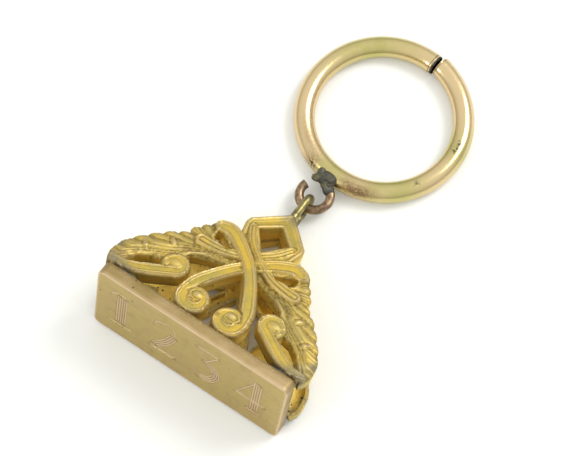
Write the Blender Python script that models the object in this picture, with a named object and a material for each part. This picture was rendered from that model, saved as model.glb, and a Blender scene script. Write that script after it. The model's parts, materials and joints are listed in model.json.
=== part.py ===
"""Watch-fob seal with an openwork body, lying on its back with its link and split ring.

The seal stands on its own frame: X runs along the stamp plate, Z rises from the
stamping face to the eye, and -Y is the front.  An empty then lays the seal down
on its back, so that the world's +Z is up from the table, the stamping face looks
towards -Y and the split ring lies flat towards +Y.
"""

import math

import bmesh
import bpy
from mathutils import Matrix, Vector

MM = 0.001

# Stamp plate.
PLATE_LENGTH = 25.7 * MM
PLATE_WIDTH = 11.8 * MM
PLATE_THICKNESS = 1.75 * MM
PLATE_CORNER_RADIUS = 0.8 * MM
PLATE_EDGE_ROUND = 0.12 * MM

# The two stamped shells: height along the sheet, and how they stand on the plate.
SHELL_HEIGHT = 20.0 * MM
BOSS_CLEARANCE = 0.08 * MM
LEAF_OVERHANG = 1.05 * MM
TOP_THICKNESS = 3.3 * MM
RIM_DEPTH = 1.5 * MM
SHEET = 0.4 * MM
WALL = 0.36 * MM
TOP_FLAT = 1.0 * MM

# Widths and heights of the straps and scrolls above the leaf field.
STRAP_HALF_WIDTH = 0.85 * MM
STRAP_RAISE = 0.45 * MM
UNDER_STRAP_RAISE = 0.25 * MM
RIB_HALF_WIDTH = 0.62 * MM
RIB_RAISE = 0.35 * MM
UNDER_RIB_RAISE = 0.15 * MM
SCROLL_HALF_WIDTH = 0.8 * MM
SCROLL_RAISE = 0.3 * MM
SCROLL_CLEARANCE = 0.22 * MM
KITE_RAISE = 0.2 * MM
VOLUTE_RADIUS = 2.05 * MM
VOLUTE_RAISE = 0.35 * MM
CURL_RADIUS = 1.75 * MM
CURL_RAISE = 0.28 * MM
BOSS_RADIUS = 0.5 * MM
BOSS_RAISE = 0.2 * MM

# Clearances between pieces that touch on the real object.
SEAM_GAP = 0.06 * MM
SEAT_GAP = 0.05 * MM

# Eye: a wire bent into a U, its legs on a pad of solder at the shells' top.
EYE_WIRE_RADIUS = 0.5 * MM
EYE_LEG_LENGTH = 3.1 * MM
EYE_PAD_HEIGHT = 0.45 * MM
EYE_PAD_MARGIN = 0.25 * MM
LINK_CLEARANCE = 0.12 * MM

# Link: an open round of wire through the eye, soldered to the split ring.
LINK_WIRE_RADIUS = 0.56 * MM
LINK_MEAN_RADIUS = 1.85 * MM
LINK_SIDE_SHIFT = 0.18 * MM
LINK_FREE_END = math.radians(158)
LINK_SOLDERED_END = math.radians(412)

# Split ring: a hollow tube with a plug in each end.
RING_MEAN_RADIUS = 9.68 * MM
RING_TUBE_RADIUS = 1.3 * MM
RING_TUBE_WALL = 0.3 * MM
RING_BEARING = math.radians(84.4)
RING_GAP_BEARING = math.radians(80.5)
LINK_TO_TUBE = 0.46 * MM
RING_GAP = 0.3 * MM
PLUG_RADIUS = 1.22 * MM
LEFT_PLUG_LENGTH = 0.5 * MM
RIGHT_PLUG_LENGTH = 0.25 * MM
SPIGOT_LENGTH = 0.8 * MM
RUNNING_GAP = 0.05 * MM

# Lug: the blob of solder between the link and the split ring, hollowed round both.
LUG_HALF_LENGTH = 1.65 * MM
LUG_HALF_WIDTH = 1.15 * MM
LUG_HALF_HEIGHT = 1.05 * MM
LUG_SINK = 0.29 * MM
LUG_TUBE_SWEEP = math.radians(28)
LUG_WIRE_SWEEP = math.radians(86)

# Solder fillets under the leaf tips.
FILLET_DEPTH = 1.1 * MM
FILLET_SETBACK = 0.15 * MM
FILLET_END_MARGIN = 0.3 * MM

# The ornament's drawing, on a grid that is stretched to the shell's own size.
# Each point is (across from the middle, up from the plate).  The fillets start this
# far across it.
DRAWN_HALF_SPAN = 13.9
DRAWN_HEIGHT = 19.6
FILLET_START = 8.9
STRAP_ROUTE = [
    (-5.5, 12.85), (-4.3, 13.05), (-2.8, 12.35), (-1.4, 11.3), (0.0, 10.05),
    (1.25, 8.4), (2.45, 6.4), (3.45, 4.4), (3.8, 2.6),
]
RIB_ROUTE = [
    (-2.75, 15.3), (-1.95, 13.9), (-1.0, 12.85), (0.25, 11.85), (1.6, 10.95),
    (3.1, 10.25), (4.8, 9.9), (6.4, 9.8),
]
SCROLL_ROUTE = [
    (13.0, 1.15), (11.6, 1.0), (10.2, 1.4), (8.9, 2.1), (7.6, 3.1), (6.6, 4.2),
]
VOLUTE_CENTRE = (2.5, 2.12)
VOLUTE_BOSS = (2.3, 2.85)
CURL_CENTRE = (6.6, 4.75)
CURL_BOSS = (6.85, 4.95)
KITE_HALF = [
    (0.0, 20.1), (3.75, 16.4), (3.9, 15.6), (3.4, 13.6), (1.6, 11.4), (0.0, 10.4),
]
KITE_HOLE_HALF = [(0.0, 17.45), (2.05, 15.6), (0.0, 12.85)]
LEAF_INNER_EDGE = [
    (1.0, 12.6), (0.2, 9.9), (2.4, 8.85), (4.3, 8.15), (6.15, 7.2), (6.3, 6.0),
    (8.2, 4.6), (9.6, 4.3), (10.8, 3.3), (11.5, 2.0), (12.1, 1.2),
]
LEAF_NOTCHES = [
    (13.1, 0.45), (13.5, 3.2), (12.7, 4.9), (11.6, 6.4), (10.4, 7.8), (9.1, 9.1),
    (8.0, 10.0), (7.5, 11.5), (6.85, 12.5), (3.7, 13.75),
]
LOBE_BULGES = [0.4, 0.3, 0.3, 0.3, 0.3, 0.25, 0.45, 0.25, 1.05]
EYELET = [(3.4, 10.45), (4.6, 10.5), (5.55, 11.2), (5.55, 12.2), (4.9, 12.2), (2.75, 10.8)]

# How finely round things are cut.
STRAP_STEPS = 18
LOBE_STEPS = 4
DISC_SIDES = 24
BOSS_SIDES = 10
WIRE_SIDES = 12
EYE_STEPS = 14
LINK_STEPS = 28
LUG_SEGMENTS = 16
LUG_RINGS = 10
LUG_CUT_SIDES = 22
RING_STEPS = 60
RING_SIDES = 14
BORE_SIDES = 8
PLUG_SIDES = 20

# Worked out from the sizes above.
SPAN_SCALE = (PLATE_LENGTH / 2 + LEAF_OVERHANG) / DRAWN_HALF_SPAN
SCROLL_SEAT = SCROLL_HALF_WIDTH + SCROLL_CLEARANCE
DRAWN_SEAT = min(up for across, up in SCROLL_ROUTE)
HEIGHT_SCALE = (SHELL_HEIGHT - SCROLL_SEAT) / (DRAWN_HEIGHT - DRAWN_SEAT)
SHELL_INSET = VOLUTE_RAISE + BOSS_RAISE + BOSS_CLEARANCE
SHELL_FOOT = PLATE_WIDTH / 2 - SHELL_INSET
SHELL_TILT = math.asin((SHELL_FOOT - TOP_THICKNESS / 2) / SHELL_HEIGHT)
SHELL_TOP = PLATE_THICKNESS + (SHELL_HEIGHT - TOP_FLAT / 2) * math.cos(SHELL_TILT)
EYE_BEND_RADIUS = LINK_WIRE_RADIUS + LINK_CLEARANCE + EYE_WIRE_RADIUS
EYE_REACH = EYE_BEND_RADIUS + EYE_WIRE_RADIUS
EYE_FOOT = SHELL_TOP + EYE_PAD_HEIGHT + 2 * SEAT_GAP
EYE_CENTRE = EYE_FOOT + EYE_LEG_LENGTH

# The seal rests on the plate's rear long edge and on the eye's bend.
REST_RUN = EYE_CENTRE - (PLATE_THICKNESS - PLATE_EDGE_ROUND)
REST_TILT = math.atan2(PLATE_WIDTH / 2, REST_RUN) - math.asin(
    EYE_REACH / math.hypot(PLATE_WIDTH / 2, REST_RUN)
)

RING_OUTER_RADIUS = RING_MEAN_RADIUS + RING_TUBE_RADIUS
LINK_TO_RING = LINK_MEAN_RADIUS + LINK_TO_TUBE + RING_OUTER_RADIUS


def clear_scene():
    for obj in list(bpy.data.objects):
        bpy.data.objects.remove(obj, do_unlink=True)


def make_material(name, color, roughness, metallic=1.0):
    material = bpy.data.materials.new(name)
    material.use_nodes = True
    shader = material.node_tree.nodes["Principled BSDF"]
    shader.inputs["Base Color"].default_value = (*color, 1.0)
    shader.inputs["Roughness"].default_value = roughness
    shader.inputs["Metallic"].default_value = metallic
    return material


def make_materials():
    """One material for each finish, from its colour and roughness."""
    finishes = {
        "gilt_brass": ((0.72, 0.55, 0.16), 0.45),
        "rolled_gold": ((0.66, 0.52, 0.30), 0.42),
        "rose_gold": ((0.80, 0.60, 0.34), 0.2),
        "worn_copper": ((0.42, 0.25, 0.15), 0.45),
        "grey_solder": ((0.20, 0.20, 0.19), 0.55),
        "tarnished_brass": ((0.30, 0.25, 0.14), 0.5),
    }
    return {name: make_material(name, *finish) for name, finish in finishes.items()}


def new_object(name, mesh, material=None, parent=None):
    obj = bpy.data.objects.new(name, mesh)
    bpy.context.scene.collection.objects.link(obj)
    if material:
        mesh.materials.clear()
        mesh.materials.append(material)
    obj.parent = parent
    return obj


def mesh_from(bm, name):
    bmesh.ops.recalc_face_normals(bm, faces=bm.faces)
    mesh = bpy.data.meshes.new(name)
    bm.to_mesh(mesh)
    bm.free()
    return mesh


def smooth_shaded(obj, angle=math.radians(35)):
    obj.data.shade_smooth()
    obj.data.set_sharp_from_angle(angle=angle)
    return obj


def helper(name, mesh):
    """An object that shapes others and is no piece itself."""
    obj = new_object(name, mesh)
    obj.hide_render = True
    obj.display_type = "WIRE"
    return obj


def add_boolean(obj, cutter, operation="DIFFERENCE", overlapping=False):
    modifier = obj.modifiers.new(cutter.name, "BOOLEAN")
    modifier.operation = operation
    modifier.solver = "EXACT"
    modifier.use_self = overlapping
    modifier.object = cutter


def applied_mesh(obj, name):
    """The mesh that the object's modifiers give, as a new mesh of its own."""
    graph = bpy.context.evaluated_depsgraph_get()
    mesh = bpy.data.meshes.new_from_object(obj.evaluated_get(graph))
    mesh.name = name
    return mesh


# Flat drawing.


def on_sheet(point):
    """A point of the drawing, in metres on the sheet.

    The drawing is stretched from the scrolls' lowest point, which keeps its clearance
    to the plate.
    """
    across, up = point
    return Vector((across * SPAN_SCALE, SCROLL_SEAT + (up - DRAWN_SEAT) * HEIGHT_SCALE))


def mirrored(points):
    return [(-across, up) for across, up in points]


def smooth_route(points, steps):
    """Points at even steps along the smooth curve through the route's own points."""
    ends = [2 * points[0] - points[1], *points, 2 * points[-1] - points[-2]]
    spans = len(points) - 1
    route = []
    for step in range(steps + 1):
        along = step * spans / steps
        index = min(int(along), spans - 1)
        t = along - index
        before, start, end, after = ends[index : index + 4]
        route.append(
            start
            + (end - before) * t / 2
            + (before - start * 2.5 + end * 2 - after / 2) * t * t
            + (start * 1.5 - before / 2 - end * 1.5 + after / 2) * t * t * t
        )
    return route


def arc_between(start, end, bulge, steps):
    """Points from start up to end, on the arc that stands off the chord by bulge."""
    chord = end - start
    half = chord.length / 2
    radius = (half * half + bulge * bulge) / (2 * bulge)
    outward = Vector((chord.y, -chord.x)).normalized()
    centre = (start + end) / 2 - outward * (radius - bulge)
    sweep = 2 * math.atan2(half, radius - bulge)
    turned = [start - centre]
    for step in range(1, steps):
        angle = sweep * step / steps
        spoke = turned[0]
        turned.append(
            Vector((
                spoke.x * math.cos(angle) - spoke.y * math.sin(angle),
                spoke.x * math.sin(angle) + spoke.y * math.cos(angle),
            ))
        )
    return [centre + spoke for spoke in turned]


def leaf_outline():
    """The right leaf's outline, anticlockwise from its lower tip."""
    outline = []
    notches = [on_sheet(notch) for notch in LEAF_NOTCHES]
    for start, end, bulge in zip(notches, notches[1:], LOBE_BULGES):
        outline.extend(arc_between(start, end, bulge * SPAN_SCALE, LOBE_STEPS))
    outline.append(notches[-1])
    outline.extend(on_sheet(point) for point in LEAF_INNER_EDGE)
    return outline


def closed_half(half):
    """The whole outline of a shape that is given by its right half, top to bottom."""
    points = half + mirrored(half[-2:0:-1])
    return [on_sheet(point) for point in reversed(points)]


def grown(outline, distance):
    """The anticlockwise outline moved out by distance, or in where it is negative."""
    result = []
    for index, point in enumerate(outline):
        before = (point - outline[index - 1]).normalized()
        after = (outline[(index + 1) % len(outline)] - point).normalized()
        normal = Vector((before.y + after.y, -before.x - after.x)).normalized()
        stretch = max(normal.dot(Vector((before.y, -before.x))), 0.5)
        result.append(point + normal * distance / stretch)
    return result


# Solids on the sheet: X across, Y up along the sheet, Z out of its face.


def add_prism(bm, outline, low, high):
    base = [bm.verts.new((point.x, point.y, low)) for point in outline]
    face = bm.faces.new(base)
    raised = bmesh.ops.extrude_face_region(bm, geom=[face])
    top = [item for item in raised["geom"] if isinstance(item, bmesh.types.BMVert)]
    bmesh.ops.translate(bm, verts=top, vec=(0, 0, high - low))


def add_band(bm, route, half_width, low, high, trim=0.0):
    """A strap of rectangular section along the route, its ends cut back by trim."""
    points = smooth_route([on_sheet(point) for point in route], STRAP_STEPS)
    points[0] = points[0] + (points[1] - points[0]).normalized() * trim
    points[-1] = points[-1] + (points[-2] - points[-1]).normalized() * trim
    left = []
    right = []
    for index, point in enumerate(points):
        ahead = points[min(index + 1, len(points) - 1)]
        behind = points[max(index - 1, 0)]
        along = (ahead - behind).normalized()
        side = Vector((-along.y, along.x)) * half_width
        left.append(point + side)
        right.append(point - side)
    add_prism(bm, right + left[::-1], low, high)


def add_disc(bm, centre, radius, low, high, sides):
    middle = on_sheet(centre)
    turns = [2 * math.pi * (side + 0.5) / sides for side in range(sides)]
    outline = [middle + Vector((math.cos(turn), math.sin(turn))) * radius for turn in turns]
    add_prism(bm, outline, low, high)


def add_ornament(bm, low, inside):
    """Every strap, scroll and leaf of one shell, as overlapping solids.

    With inside False these are the outer forms, and with inside True the same forms
    less the wall and the sheet, which hollow them from behind.
    """
    wall = WALL if inside else 0.0
    drop = SHEET if inside else 0.0
    straps = [
        (STRAP_ROUTE, STRAP_HALF_WIDTH, STRAP_RAISE),
        (mirrored(STRAP_ROUTE), STRAP_HALF_WIDTH, UNDER_STRAP_RAISE),
        (RIB_ROUTE, RIB_HALF_WIDTH, RIB_RAISE),
        (mirrored(RIB_ROUTE), RIB_HALF_WIDTH, UNDER_RIB_RAISE),
        (SCROLL_ROUTE, SCROLL_HALF_WIDTH, SCROLL_RAISE),
        (mirrored(SCROLL_ROUTE), SCROLL_HALF_WIDTH, SCROLL_RAISE),
    ]
    for route, half_width, lift in straps:
        add_band(bm, route, half_width - wall, low, lift - drop, trim=wall)
    leaf = leaf_outline()
    for outline in (leaf, [Vector((-p.x, p.y)) for p in reversed(leaf)]):
        add_prism(bm, grown(outline, -wall), low, -drop)
    for side in (1, -1):
        volute = (side * VOLUTE_CENTRE[0], VOLUTE_CENTRE[1])
        curl = (side * CURL_CENTRE[0], CURL_CENTRE[1])
        add_disc(bm, volute, VOLUTE_RADIUS - wall, low, VOLUTE_RAISE - drop, DISC_SIDES)
        add_disc(bm, curl, CURL_RADIUS - wall, low, CURL_RAISE - drop, DISC_SIDES)


def add_bosses(bm):
    for across, up, lift in (
        (*VOLUTE_BOSS, VOLUTE_RAISE),
        (*CURL_BOSS, CURL_RAISE),
    ):
        for side in (1, -1):
            add_disc(
                bm, (side * across, up), BOSS_RADIUS, lift - SHEET / 2,
                lift + BOSS_RAISE, BOSS_SIDES,
            )


def big_block(name, low, high):
    """A block between two corners, as a helper."""
    bm = bmesh.new()
    size = high - low
    place = Matrix.Translation((low + high) / 2) @ Matrix.Diagonal((*size, 1))
    bmesh.ops.create_cube(bm, size=1, matrix=place)
    return helper(name, mesh_from(bm, name))


def sheet_place():
    """The front sheet's place in the seal's frame."""
    turn = Matrix.Rotation(math.pi / 2 - SHELL_TILT, 4, "X")
    return Matrix.Translation((0, -SHELL_FOOT, PLATE_THICKNESS)) @ turn


def shell_mesh():
    """One shell on its sheet, hollow behind, open where the ornament is pierced."""
    reach = PLATE_LENGTH
    kite_depth = SHELL_FOOT + RIM_DEPTH
    bm = bmesh.new()
    add_ornament(bm, -RIM_DEPTH, inside=False)
    add_bosses(bm)
    outer = helper("shell_outer", mesh_from(bm, "shell_outer"))

    kite = closed_half(KITE_HALF)
    bm = bmesh.new()
    add_prism(bm, kite, -kite_depth, KITE_RAISE)
    kite_outer = helper("kite_outer", mesh_from(bm, "kite_outer"))

    bm = bmesh.new()
    add_ornament(bm, -RIM_DEPTH - WALL, inside=True)
    add_prism(bm, grown(kite, -WALL), -kite_depth - WALL, KITE_RAISE - SHEET)
    cavity = helper("shell_cavity", mesh_from(bm, "shell_cavity"))

    # Walls round the pierced openings are what the cavity leaves standing.
    hole = closed_half(KITE_HOLE_HALF)
    eyelet = [on_sheet(point) for point in EYELET]
    eyelets = [eyelet, [Vector((-p.x, p.y)) for p in reversed(eyelet)]]
    bm = bmesh.new()
    add_prism(bm, grown(hole, WALL), -kite_depth - 2 * WALL, reach)
    for outline in eyelets:
        add_prism(bm, grown(outline, WALL), -kite_depth - 2 * WALL, reach)
    posts = helper("opening_walls", mesh_from(bm, "opening_walls"))
    bm = bmesh.new()
    for outline in [hole, *eyelets]:
        add_prism(bm, outline, -reach, reach)
    openings = helper("openings", mesh_from(bm, "openings"))

    add_boolean(outer, kite_outer, "UNION", overlapping=True)
    add_boolean(cavity, posts, overlapping=True)
    solid_cavity = helper("solid_cavity", applied_mesh(cavity, "solid_cavity"))
    add_boolean(outer, solid_cavity)
    add_boolean(outer, openings)

    # Cut level on the plate, at the middle seam and across the top.
    to_sheet = sheet_place().inverted()
    cuts = {
        "plate_cut": (
            Vector((-reach, -reach, -reach)),
            Vector((reach, reach, PLATE_THICKNESS + SEAT_GAP)),
        ),
        "seam_cut": (
            Vector((-reach, -SEAM_GAP / 2, -reach)),
            Vector((reach, reach, 2 * reach)),
        ),
        "top_cut": (
            Vector((-reach, -reach, SHELL_TOP)),
            Vector((reach, reach, 2 * reach)),
        ),
    }
    for name, (low, high) in cuts.items():
        block = big_block(name, low, high)
        block.data.transform(to_sheet)
        add_boolean(outer, block)
    return applied_mesh(outer, "shell")


def fillet_mesh(side):
    """Solder that fills the wedge between a leaf tip's scroll and the plate."""
    route = SCROLL_ROUTE if side > 0 else mirrored(SCROLL_ROUTE)
    low = -FILLET_SETBACK - FILLET_DEPTH
    start = side * FILLET_START * SPAN_SCALE
    end = side * (PLATE_LENGTH / 2 - FILLET_END_MARGIN)
    left, right = sorted((start, end))
    outline = [
        Vector((left, -RIM_DEPTH)), Vector((right, -RIM_DEPTH)),
        Vector((right, RIM_DEPTH / 2)), Vector((left, RIM_DEPTH / 2)),
    ]
    bm = bmesh.new()
    add_prism(bm, outline, low, -FILLET_SETBACK)
    block = helper(f"fillet_block_{side}", mesh_from(bm, "fillet_block"))
    bm = bmesh.new()
    add_band(bm, route, SCROLL_HALF_WIDTH + SEAT_GAP, -2 * RIM_DEPTH, RIM_DEPTH, -SEAT_GAP)
    band = helper(f"fillet_band_{side}", mesh_from(bm, "fillet_band"))
    reach = PLATE_LENGTH
    under = big_block(
        f"fillet_under_{side}",
        Vector((-reach, -reach, -reach)),
        Vector((reach, reach, PLATE_THICKNESS + SEAT_GAP)),
    )
    under.data.transform(sheet_place().inverted())
    above = big_block(
        f"fillet_above_{side}",
        Vector((-reach, on_sheet(SCROLL_ROUTE[0]).y, -reach)),
        Vector((reach, reach, reach)),
    )
    add_boolean(block, under)
    add_boolean(block, above)
    add_boolean(block, band)
    return applied_mesh(block, f"fillet_{side}")


def build_shells(seal, materials):
    shell = shell_mesh()
    fillets = {"left": fillet_mesh(-1), "right": fillet_mesh(1)}
    turned = Matrix.Rotation(math.pi, 4, "Z")
    for name, turn in (("front", Matrix.Identity(4)), ("back", turned)):
        obj = new_object(f"{name}_shell", shell, materials["gilt_brass"], seal)
        obj.matrix_local = turn @ sheet_place()
        for side, mesh in fillets.items():
            fillet = new_object(f"solder_{name}_{side}", mesh, materials["grey_solder"], seal)
            fillet.matrix_local = turn @ sheet_place()


def build_plate(seal, materials):
    bm = bmesh.new()
    size = Matrix.Diagonal((PLATE_LENGTH, PLATE_WIDTH, PLATE_THICKNESS, 1))
    lift = Matrix.Translation((0, 0, PLATE_THICKNESS / 2))
    bmesh.ops.create_cube(bm, size=1, matrix=lift @ size)
    uprights = [
        edge for edge in bm.edges
        if abs(edge.verts[0].co.z - edge.verts[1].co.z) > PLATE_THICKNESS / 2
    ]
    bmesh.ops.bevel(
        bm, geom=uprights, offset=PLATE_CORNER_RADIUS, affect="EDGES",
        segments=5, profile=0.5, material=-1,
    )
    rims = [edge for edge in bm.edges if abs(edge.verts[0].co.z - edge.verts[1].co.z) < SEAT_GAP]
    bmesh.ops.bevel(
        bm, geom=rims, offset=PLATE_EDGE_ROUND, affect="EDGES",
        segments=2, profile=0.5, material=-1,
    )
    new_object("stamp_plate", mesh_from(bm, "stamp_plate"), materials["rolled_gold"], seal)


def wire_mesh(name, points, radius, sides):
    """A round wire through the points, with closed ends, as a mesh."""
    curve = bpy.data.curves.new(name, "CURVE")
    curve.dimensions = "3D"
    curve.bevel_mode = "ROUND"
    curve.bevel_depth = radius
    curve.bevel_resolution = sides // 2 - 2
    curve.use_fill_caps = True
    spline = curve.splines.new("POLY")
    spline.points.add(len(points) - 1)
    for target, point in zip(spline.points, points):
        target.co = (*point, 1.0)
    source = bpy.data.objects.new(name + "_curve", curve)
    bpy.context.scene.collection.objects.link(source)
    mesh = applied_mesh(source, name)
    bpy.data.objects.remove(source, do_unlink=True)
    bm = bmesh.new()
    bm.from_mesh(mesh)
    bmesh.ops.remove_doubles(bm, verts=bm.verts, dist=radius / 1000)
    return mesh_from(bm, name)


def build_eye(seal, materials):
    points = [Vector((0, -EYE_BEND_RADIUS, EYE_FOOT))]
    for step in range(EYE_STEPS + 1):
        angle = math.pi * step / EYE_STEPS
        points.append(
            Vector((
                0,
                -EYE_BEND_RADIUS * math.cos(angle),
                EYE_CENTRE + EYE_BEND_RADIUS * math.sin(angle),
            ))
        )
    points.append(Vector((0, EYE_BEND_RADIUS, EYE_FOOT)))
    mesh = wire_mesh("eye_loop", points, EYE_WIRE_RADIUS, WIRE_SIDES)
    new_object("eye_loop", mesh, materials["tarnished_brass"], seal)

    half_across = EYE_WIRE_RADIUS + EYE_PAD_MARGIN
    half_deep = EYE_REACH + EYE_PAD_MARGIN / 2
    size = Matrix.Diagonal((2 * half_across, 2 * half_deep, EYE_PAD_HEIGHT, 1))
    lift = Matrix.Translation((0, 0, SHELL_TOP + SEAT_GAP + EYE_PAD_HEIGHT / 2))
    bm = bmesh.new()
    bmesh.ops.create_cube(bm, size=1, matrix=lift @ size)
    bmesh.ops.bevel(
        bm, geom=list(bm.edges), offset=EYE_PAD_HEIGHT / 4, affect="EDGES",
        segments=2, profile=0.5, material=-1,
    )
    new_object("eye_solder", mesh_from(bm, "eye_solder"), materials["grey_solder"], seal)


# The ring's pieces stand on their own empty, whose origin is on the hinge's axis:
# the middle of the link's wire where it passes through the eye.


def link_centre():
    drop = math.sqrt(LINK_MEAN_RADIUS**2 - LINK_SIDE_SHIFT**2)
    return Vector((LINK_SIDE_SHIFT, drop, 0))


def ring_centre(ring_drop):
    reach = Vector((math.cos(RING_BEARING), math.sin(RING_BEARING), 0)) * LINK_TO_RING
    return link_centre() + reach - Vector((0, 0, ring_drop))


def arc_points(centre, radius, start, end, steps):
    turns = [start + (end - start) * step / steps for step in range(steps + 1)]
    return [centre + Vector((math.cos(turn), math.sin(turn), 0)) * radius for turn in turns]


def tube_mesh(centre, start, end):
    """The hollow ring, open at both ends."""
    points = arc_points(centre, RING_MEAN_RADIUS, start, end, RING_STEPS)
    tube = helper("tube_outer", wire_mesh("tube_outer", points, RING_TUBE_RADIUS, RING_SIDES))
    past = RING_TUBE_WALL / RING_MEAN_RADIUS
    points = arc_points(centre, RING_MEAN_RADIUS, start - past, end + past, RING_STEPS)
    bore = wire_mesh("tube_bore", points, RING_TUBE_RADIUS - RING_TUBE_WALL, BORE_SIDES)
    add_boolean(tube, helper("tube_bore", bore))
    return applied_mesh(tube, "ring_tube")


def plug_mesh(centre, turn, length, towards, name):
    """A plug at the tube's end: a collar outside it and a spigot in its bore."""
    out = Vector((math.cos(turn), math.sin(turn), 0))
    into = Vector((-math.sin(turn), math.cos(turn), 0)) * towards
    up = into.cross(out)
    place = Matrix.Translation(centre + out * RING_MEAN_RADIUS)
    frame = Matrix((out, up, into)).transposed().to_4x4()
    bore_radius = (RING_TUBE_RADIUS - RING_TUBE_WALL) * math.cos(math.pi / BORE_SIDES)
    spigot_radius = bore_radius - RUNNING_GAP
    bm = bmesh.new()
    bmesh.ops.create_cone(
        bm, cap_ends=True, segments=PLUG_SIDES, radius1=PLUG_RADIUS, radius2=PLUG_RADIUS,
        depth=length, matrix=Matrix.Translation((0, 0, -RUNNING_GAP - length / 2)),
    )
    seat = max(bm.faces, key=lambda face: face.calc_center_median().z)
    bmesh.ops.inset_region(bm, faces=[seat], thickness=PLUG_RADIUS - spigot_radius)
    spigot = bmesh.ops.extrude_discrete_faces(bm, faces=[seat])["faces"][0]
    bmesh.ops.translate(bm, verts=spigot.verts, vec=(0, 0, SPIGOT_LENGTH))
    bmesh.ops.transform(bm, matrix=place @ frame, verts=bm.verts)
    return mesh_from(bm, name)


def build_link(swing, materials):
    points = arc_points(
        link_centre(), LINK_MEAN_RADIUS, LINK_FREE_END, LINK_SOLDERED_END, LINK_STEPS
    )
    mesh = wire_mesh("link_ring", points, LINK_WIRE_RADIUS, WIRE_SIDES)
    new_object("link_ring", mesh, materials["worn_copper"], swing)


def build_ring(swing, centre, materials):
    before_gap = RING_GAP / 2 + RIGHT_PLUG_LENGTH + RUNNING_GAP
    after_gap = RING_GAP / 2 + LEFT_PLUG_LENGTH + RUNNING_GAP
    start = RING_GAP_BEARING + after_gap / RING_MEAN_RADIUS
    end = RING_GAP_BEARING + 2 * math.pi - before_gap / RING_MEAN_RADIUS
    new_object("ring_tube", tube_mesh(centre, start, end), materials["rose_gold"], swing)
    for name, turn, length, towards in (
        ("ring_end_left", start, LEFT_PLUG_LENGTH, 1),
        ("ring_end_right", end, RIGHT_PLUG_LENGTH, -1),
    ):
        mesh = plug_mesh(centre, turn, length, towards, name)
        new_object(name, mesh, materials["tarnished_brass"], swing)


def build_lug(swing, centre, materials):
    """The solder blob, hollowed to sit on the tube and round the link's end."""
    toward_ring = (centre - link_centre()).normalized()
    tube_side = centre - toward_ring * RING_OUTER_RADIUS
    place = Matrix.Translation(tube_side - toward_ring * LUG_SINK)
    turn = Matrix.Rotation(RING_BEARING - math.pi / 2, 4, "Z")
    size = Matrix.Diagonal((LUG_HALF_LENGTH, LUG_HALF_WIDTH, LUG_HALF_HEIGHT, 1))
    bm = bmesh.new()
    bmesh.ops.create_uvsphere(
        bm, u_segments=LUG_SEGMENTS, v_segments=LUG_RINGS, radius=1,
        matrix=place @ turn @ size,
    )
    blob = helper("lug_blob", mesh_from(bm, "lug_blob"))
    lug_turn = RING_BEARING + math.pi
    tube_points = arc_points(
        centre, RING_MEAN_RADIUS, lug_turn - LUG_TUBE_SWEEP, lug_turn + LUG_TUBE_SWEEP,
        LINK_STEPS // 2,
    )
    link_points = arc_points(
        link_centre(), LINK_MEAN_RADIUS, LINK_SOLDERED_END - LUG_WIRE_SWEEP,
        LINK_SOLDERED_END + SEAT_GAP / LINK_MEAN_RADIUS, LINK_STEPS,
    )
    for name, points, radius in (
        ("lug_tube_cut", tube_points, RING_TUBE_RADIUS),
        ("lug_wire_cut", link_points, LINK_WIRE_RADIUS),
    ):
        cutter = wire_mesh(name, points, radius + SEAT_GAP, LUG_CUT_SIDES)
        add_boolean(blob, helper(name, cutter))
    new_object("lug_solder", applied_mesh(blob, "lug_solder"), materials["grey_solder"], swing)


def add_empty(name):
    empty = bpy.data.objects.new(name, None)
    bpy.context.scene.collection.objects.link(empty)
    return empty


def main():
    clear_scene()
    # In the seal's frame the table is the line through the plate's rear upper edge.
    sine, cosine = math.sin(REST_TILT), math.cos(REST_TILT)
    foot_height = PLATE_WIDTH / 2 * cosine + (PLATE_THICKNESS - PLATE_EDGE_ROUND) * sine
    eye_height = foot_height - EYE_CENTRE * sine
    ring_drop = eye_height - RING_TUBE_RADIUS
    lowest = -PLATE_WIDTH / 2 * sine
    centre = ring_centre(ring_drop)
    highest = EYE_CENTRE * cosine + centre.y + RING_OUTER_RADIUS
    slide = -(lowest + highest) / 2

    seal = add_empty("seal_frame")
    seal.location = (0, slide, foot_height)
    seal.rotation_euler = (-(math.pi / 2 + REST_TILT), 0, 0)
    swing = add_empty("ring_hinge")
    swing.location = (0, slide + EYE_CENTRE * cosine, eye_height)

    materials = make_materials()
    build_plate(seal, materials)
    build_shells(seal, materials)
    build_eye(seal, materials)
    build_link(swing, materials)
    build_ring(swing, centre, materials)
    build_lug(swing, centre, materials)
    for obj in bpy.context.scene.objects:
        if obj.type == "MESH" and not obj.hide_render:
            smooth_shaded(obj)


main()
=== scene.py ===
"""Watch-fob seal on a pale table: its relief, finishes, lights and camera."""

import json
import math

import bmesh
import bpy
import numpy as np
from bpy.props import FloatProperty, FloatVectorProperty, PointerProperty
from mathutils import Matrix, Vector, noise


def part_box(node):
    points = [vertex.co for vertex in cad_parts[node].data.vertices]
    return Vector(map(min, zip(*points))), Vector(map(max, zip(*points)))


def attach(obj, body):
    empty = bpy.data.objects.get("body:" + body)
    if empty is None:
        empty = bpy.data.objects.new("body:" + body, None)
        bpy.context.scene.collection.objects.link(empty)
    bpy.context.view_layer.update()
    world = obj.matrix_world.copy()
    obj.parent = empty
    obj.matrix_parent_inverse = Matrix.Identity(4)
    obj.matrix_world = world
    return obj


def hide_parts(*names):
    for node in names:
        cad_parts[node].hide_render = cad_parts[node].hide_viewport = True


bl_info = {
    "name": "Watch-fob seal",
    "version": (1, 0, 0),
    "blender": (4, 5, 0),
    "location": "View3D > Sidebar > Fob seal",
    "description": "Builds an openwork watch-fob seal with its link and split ring",
    "category": "Add Mesh",
}

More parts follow.
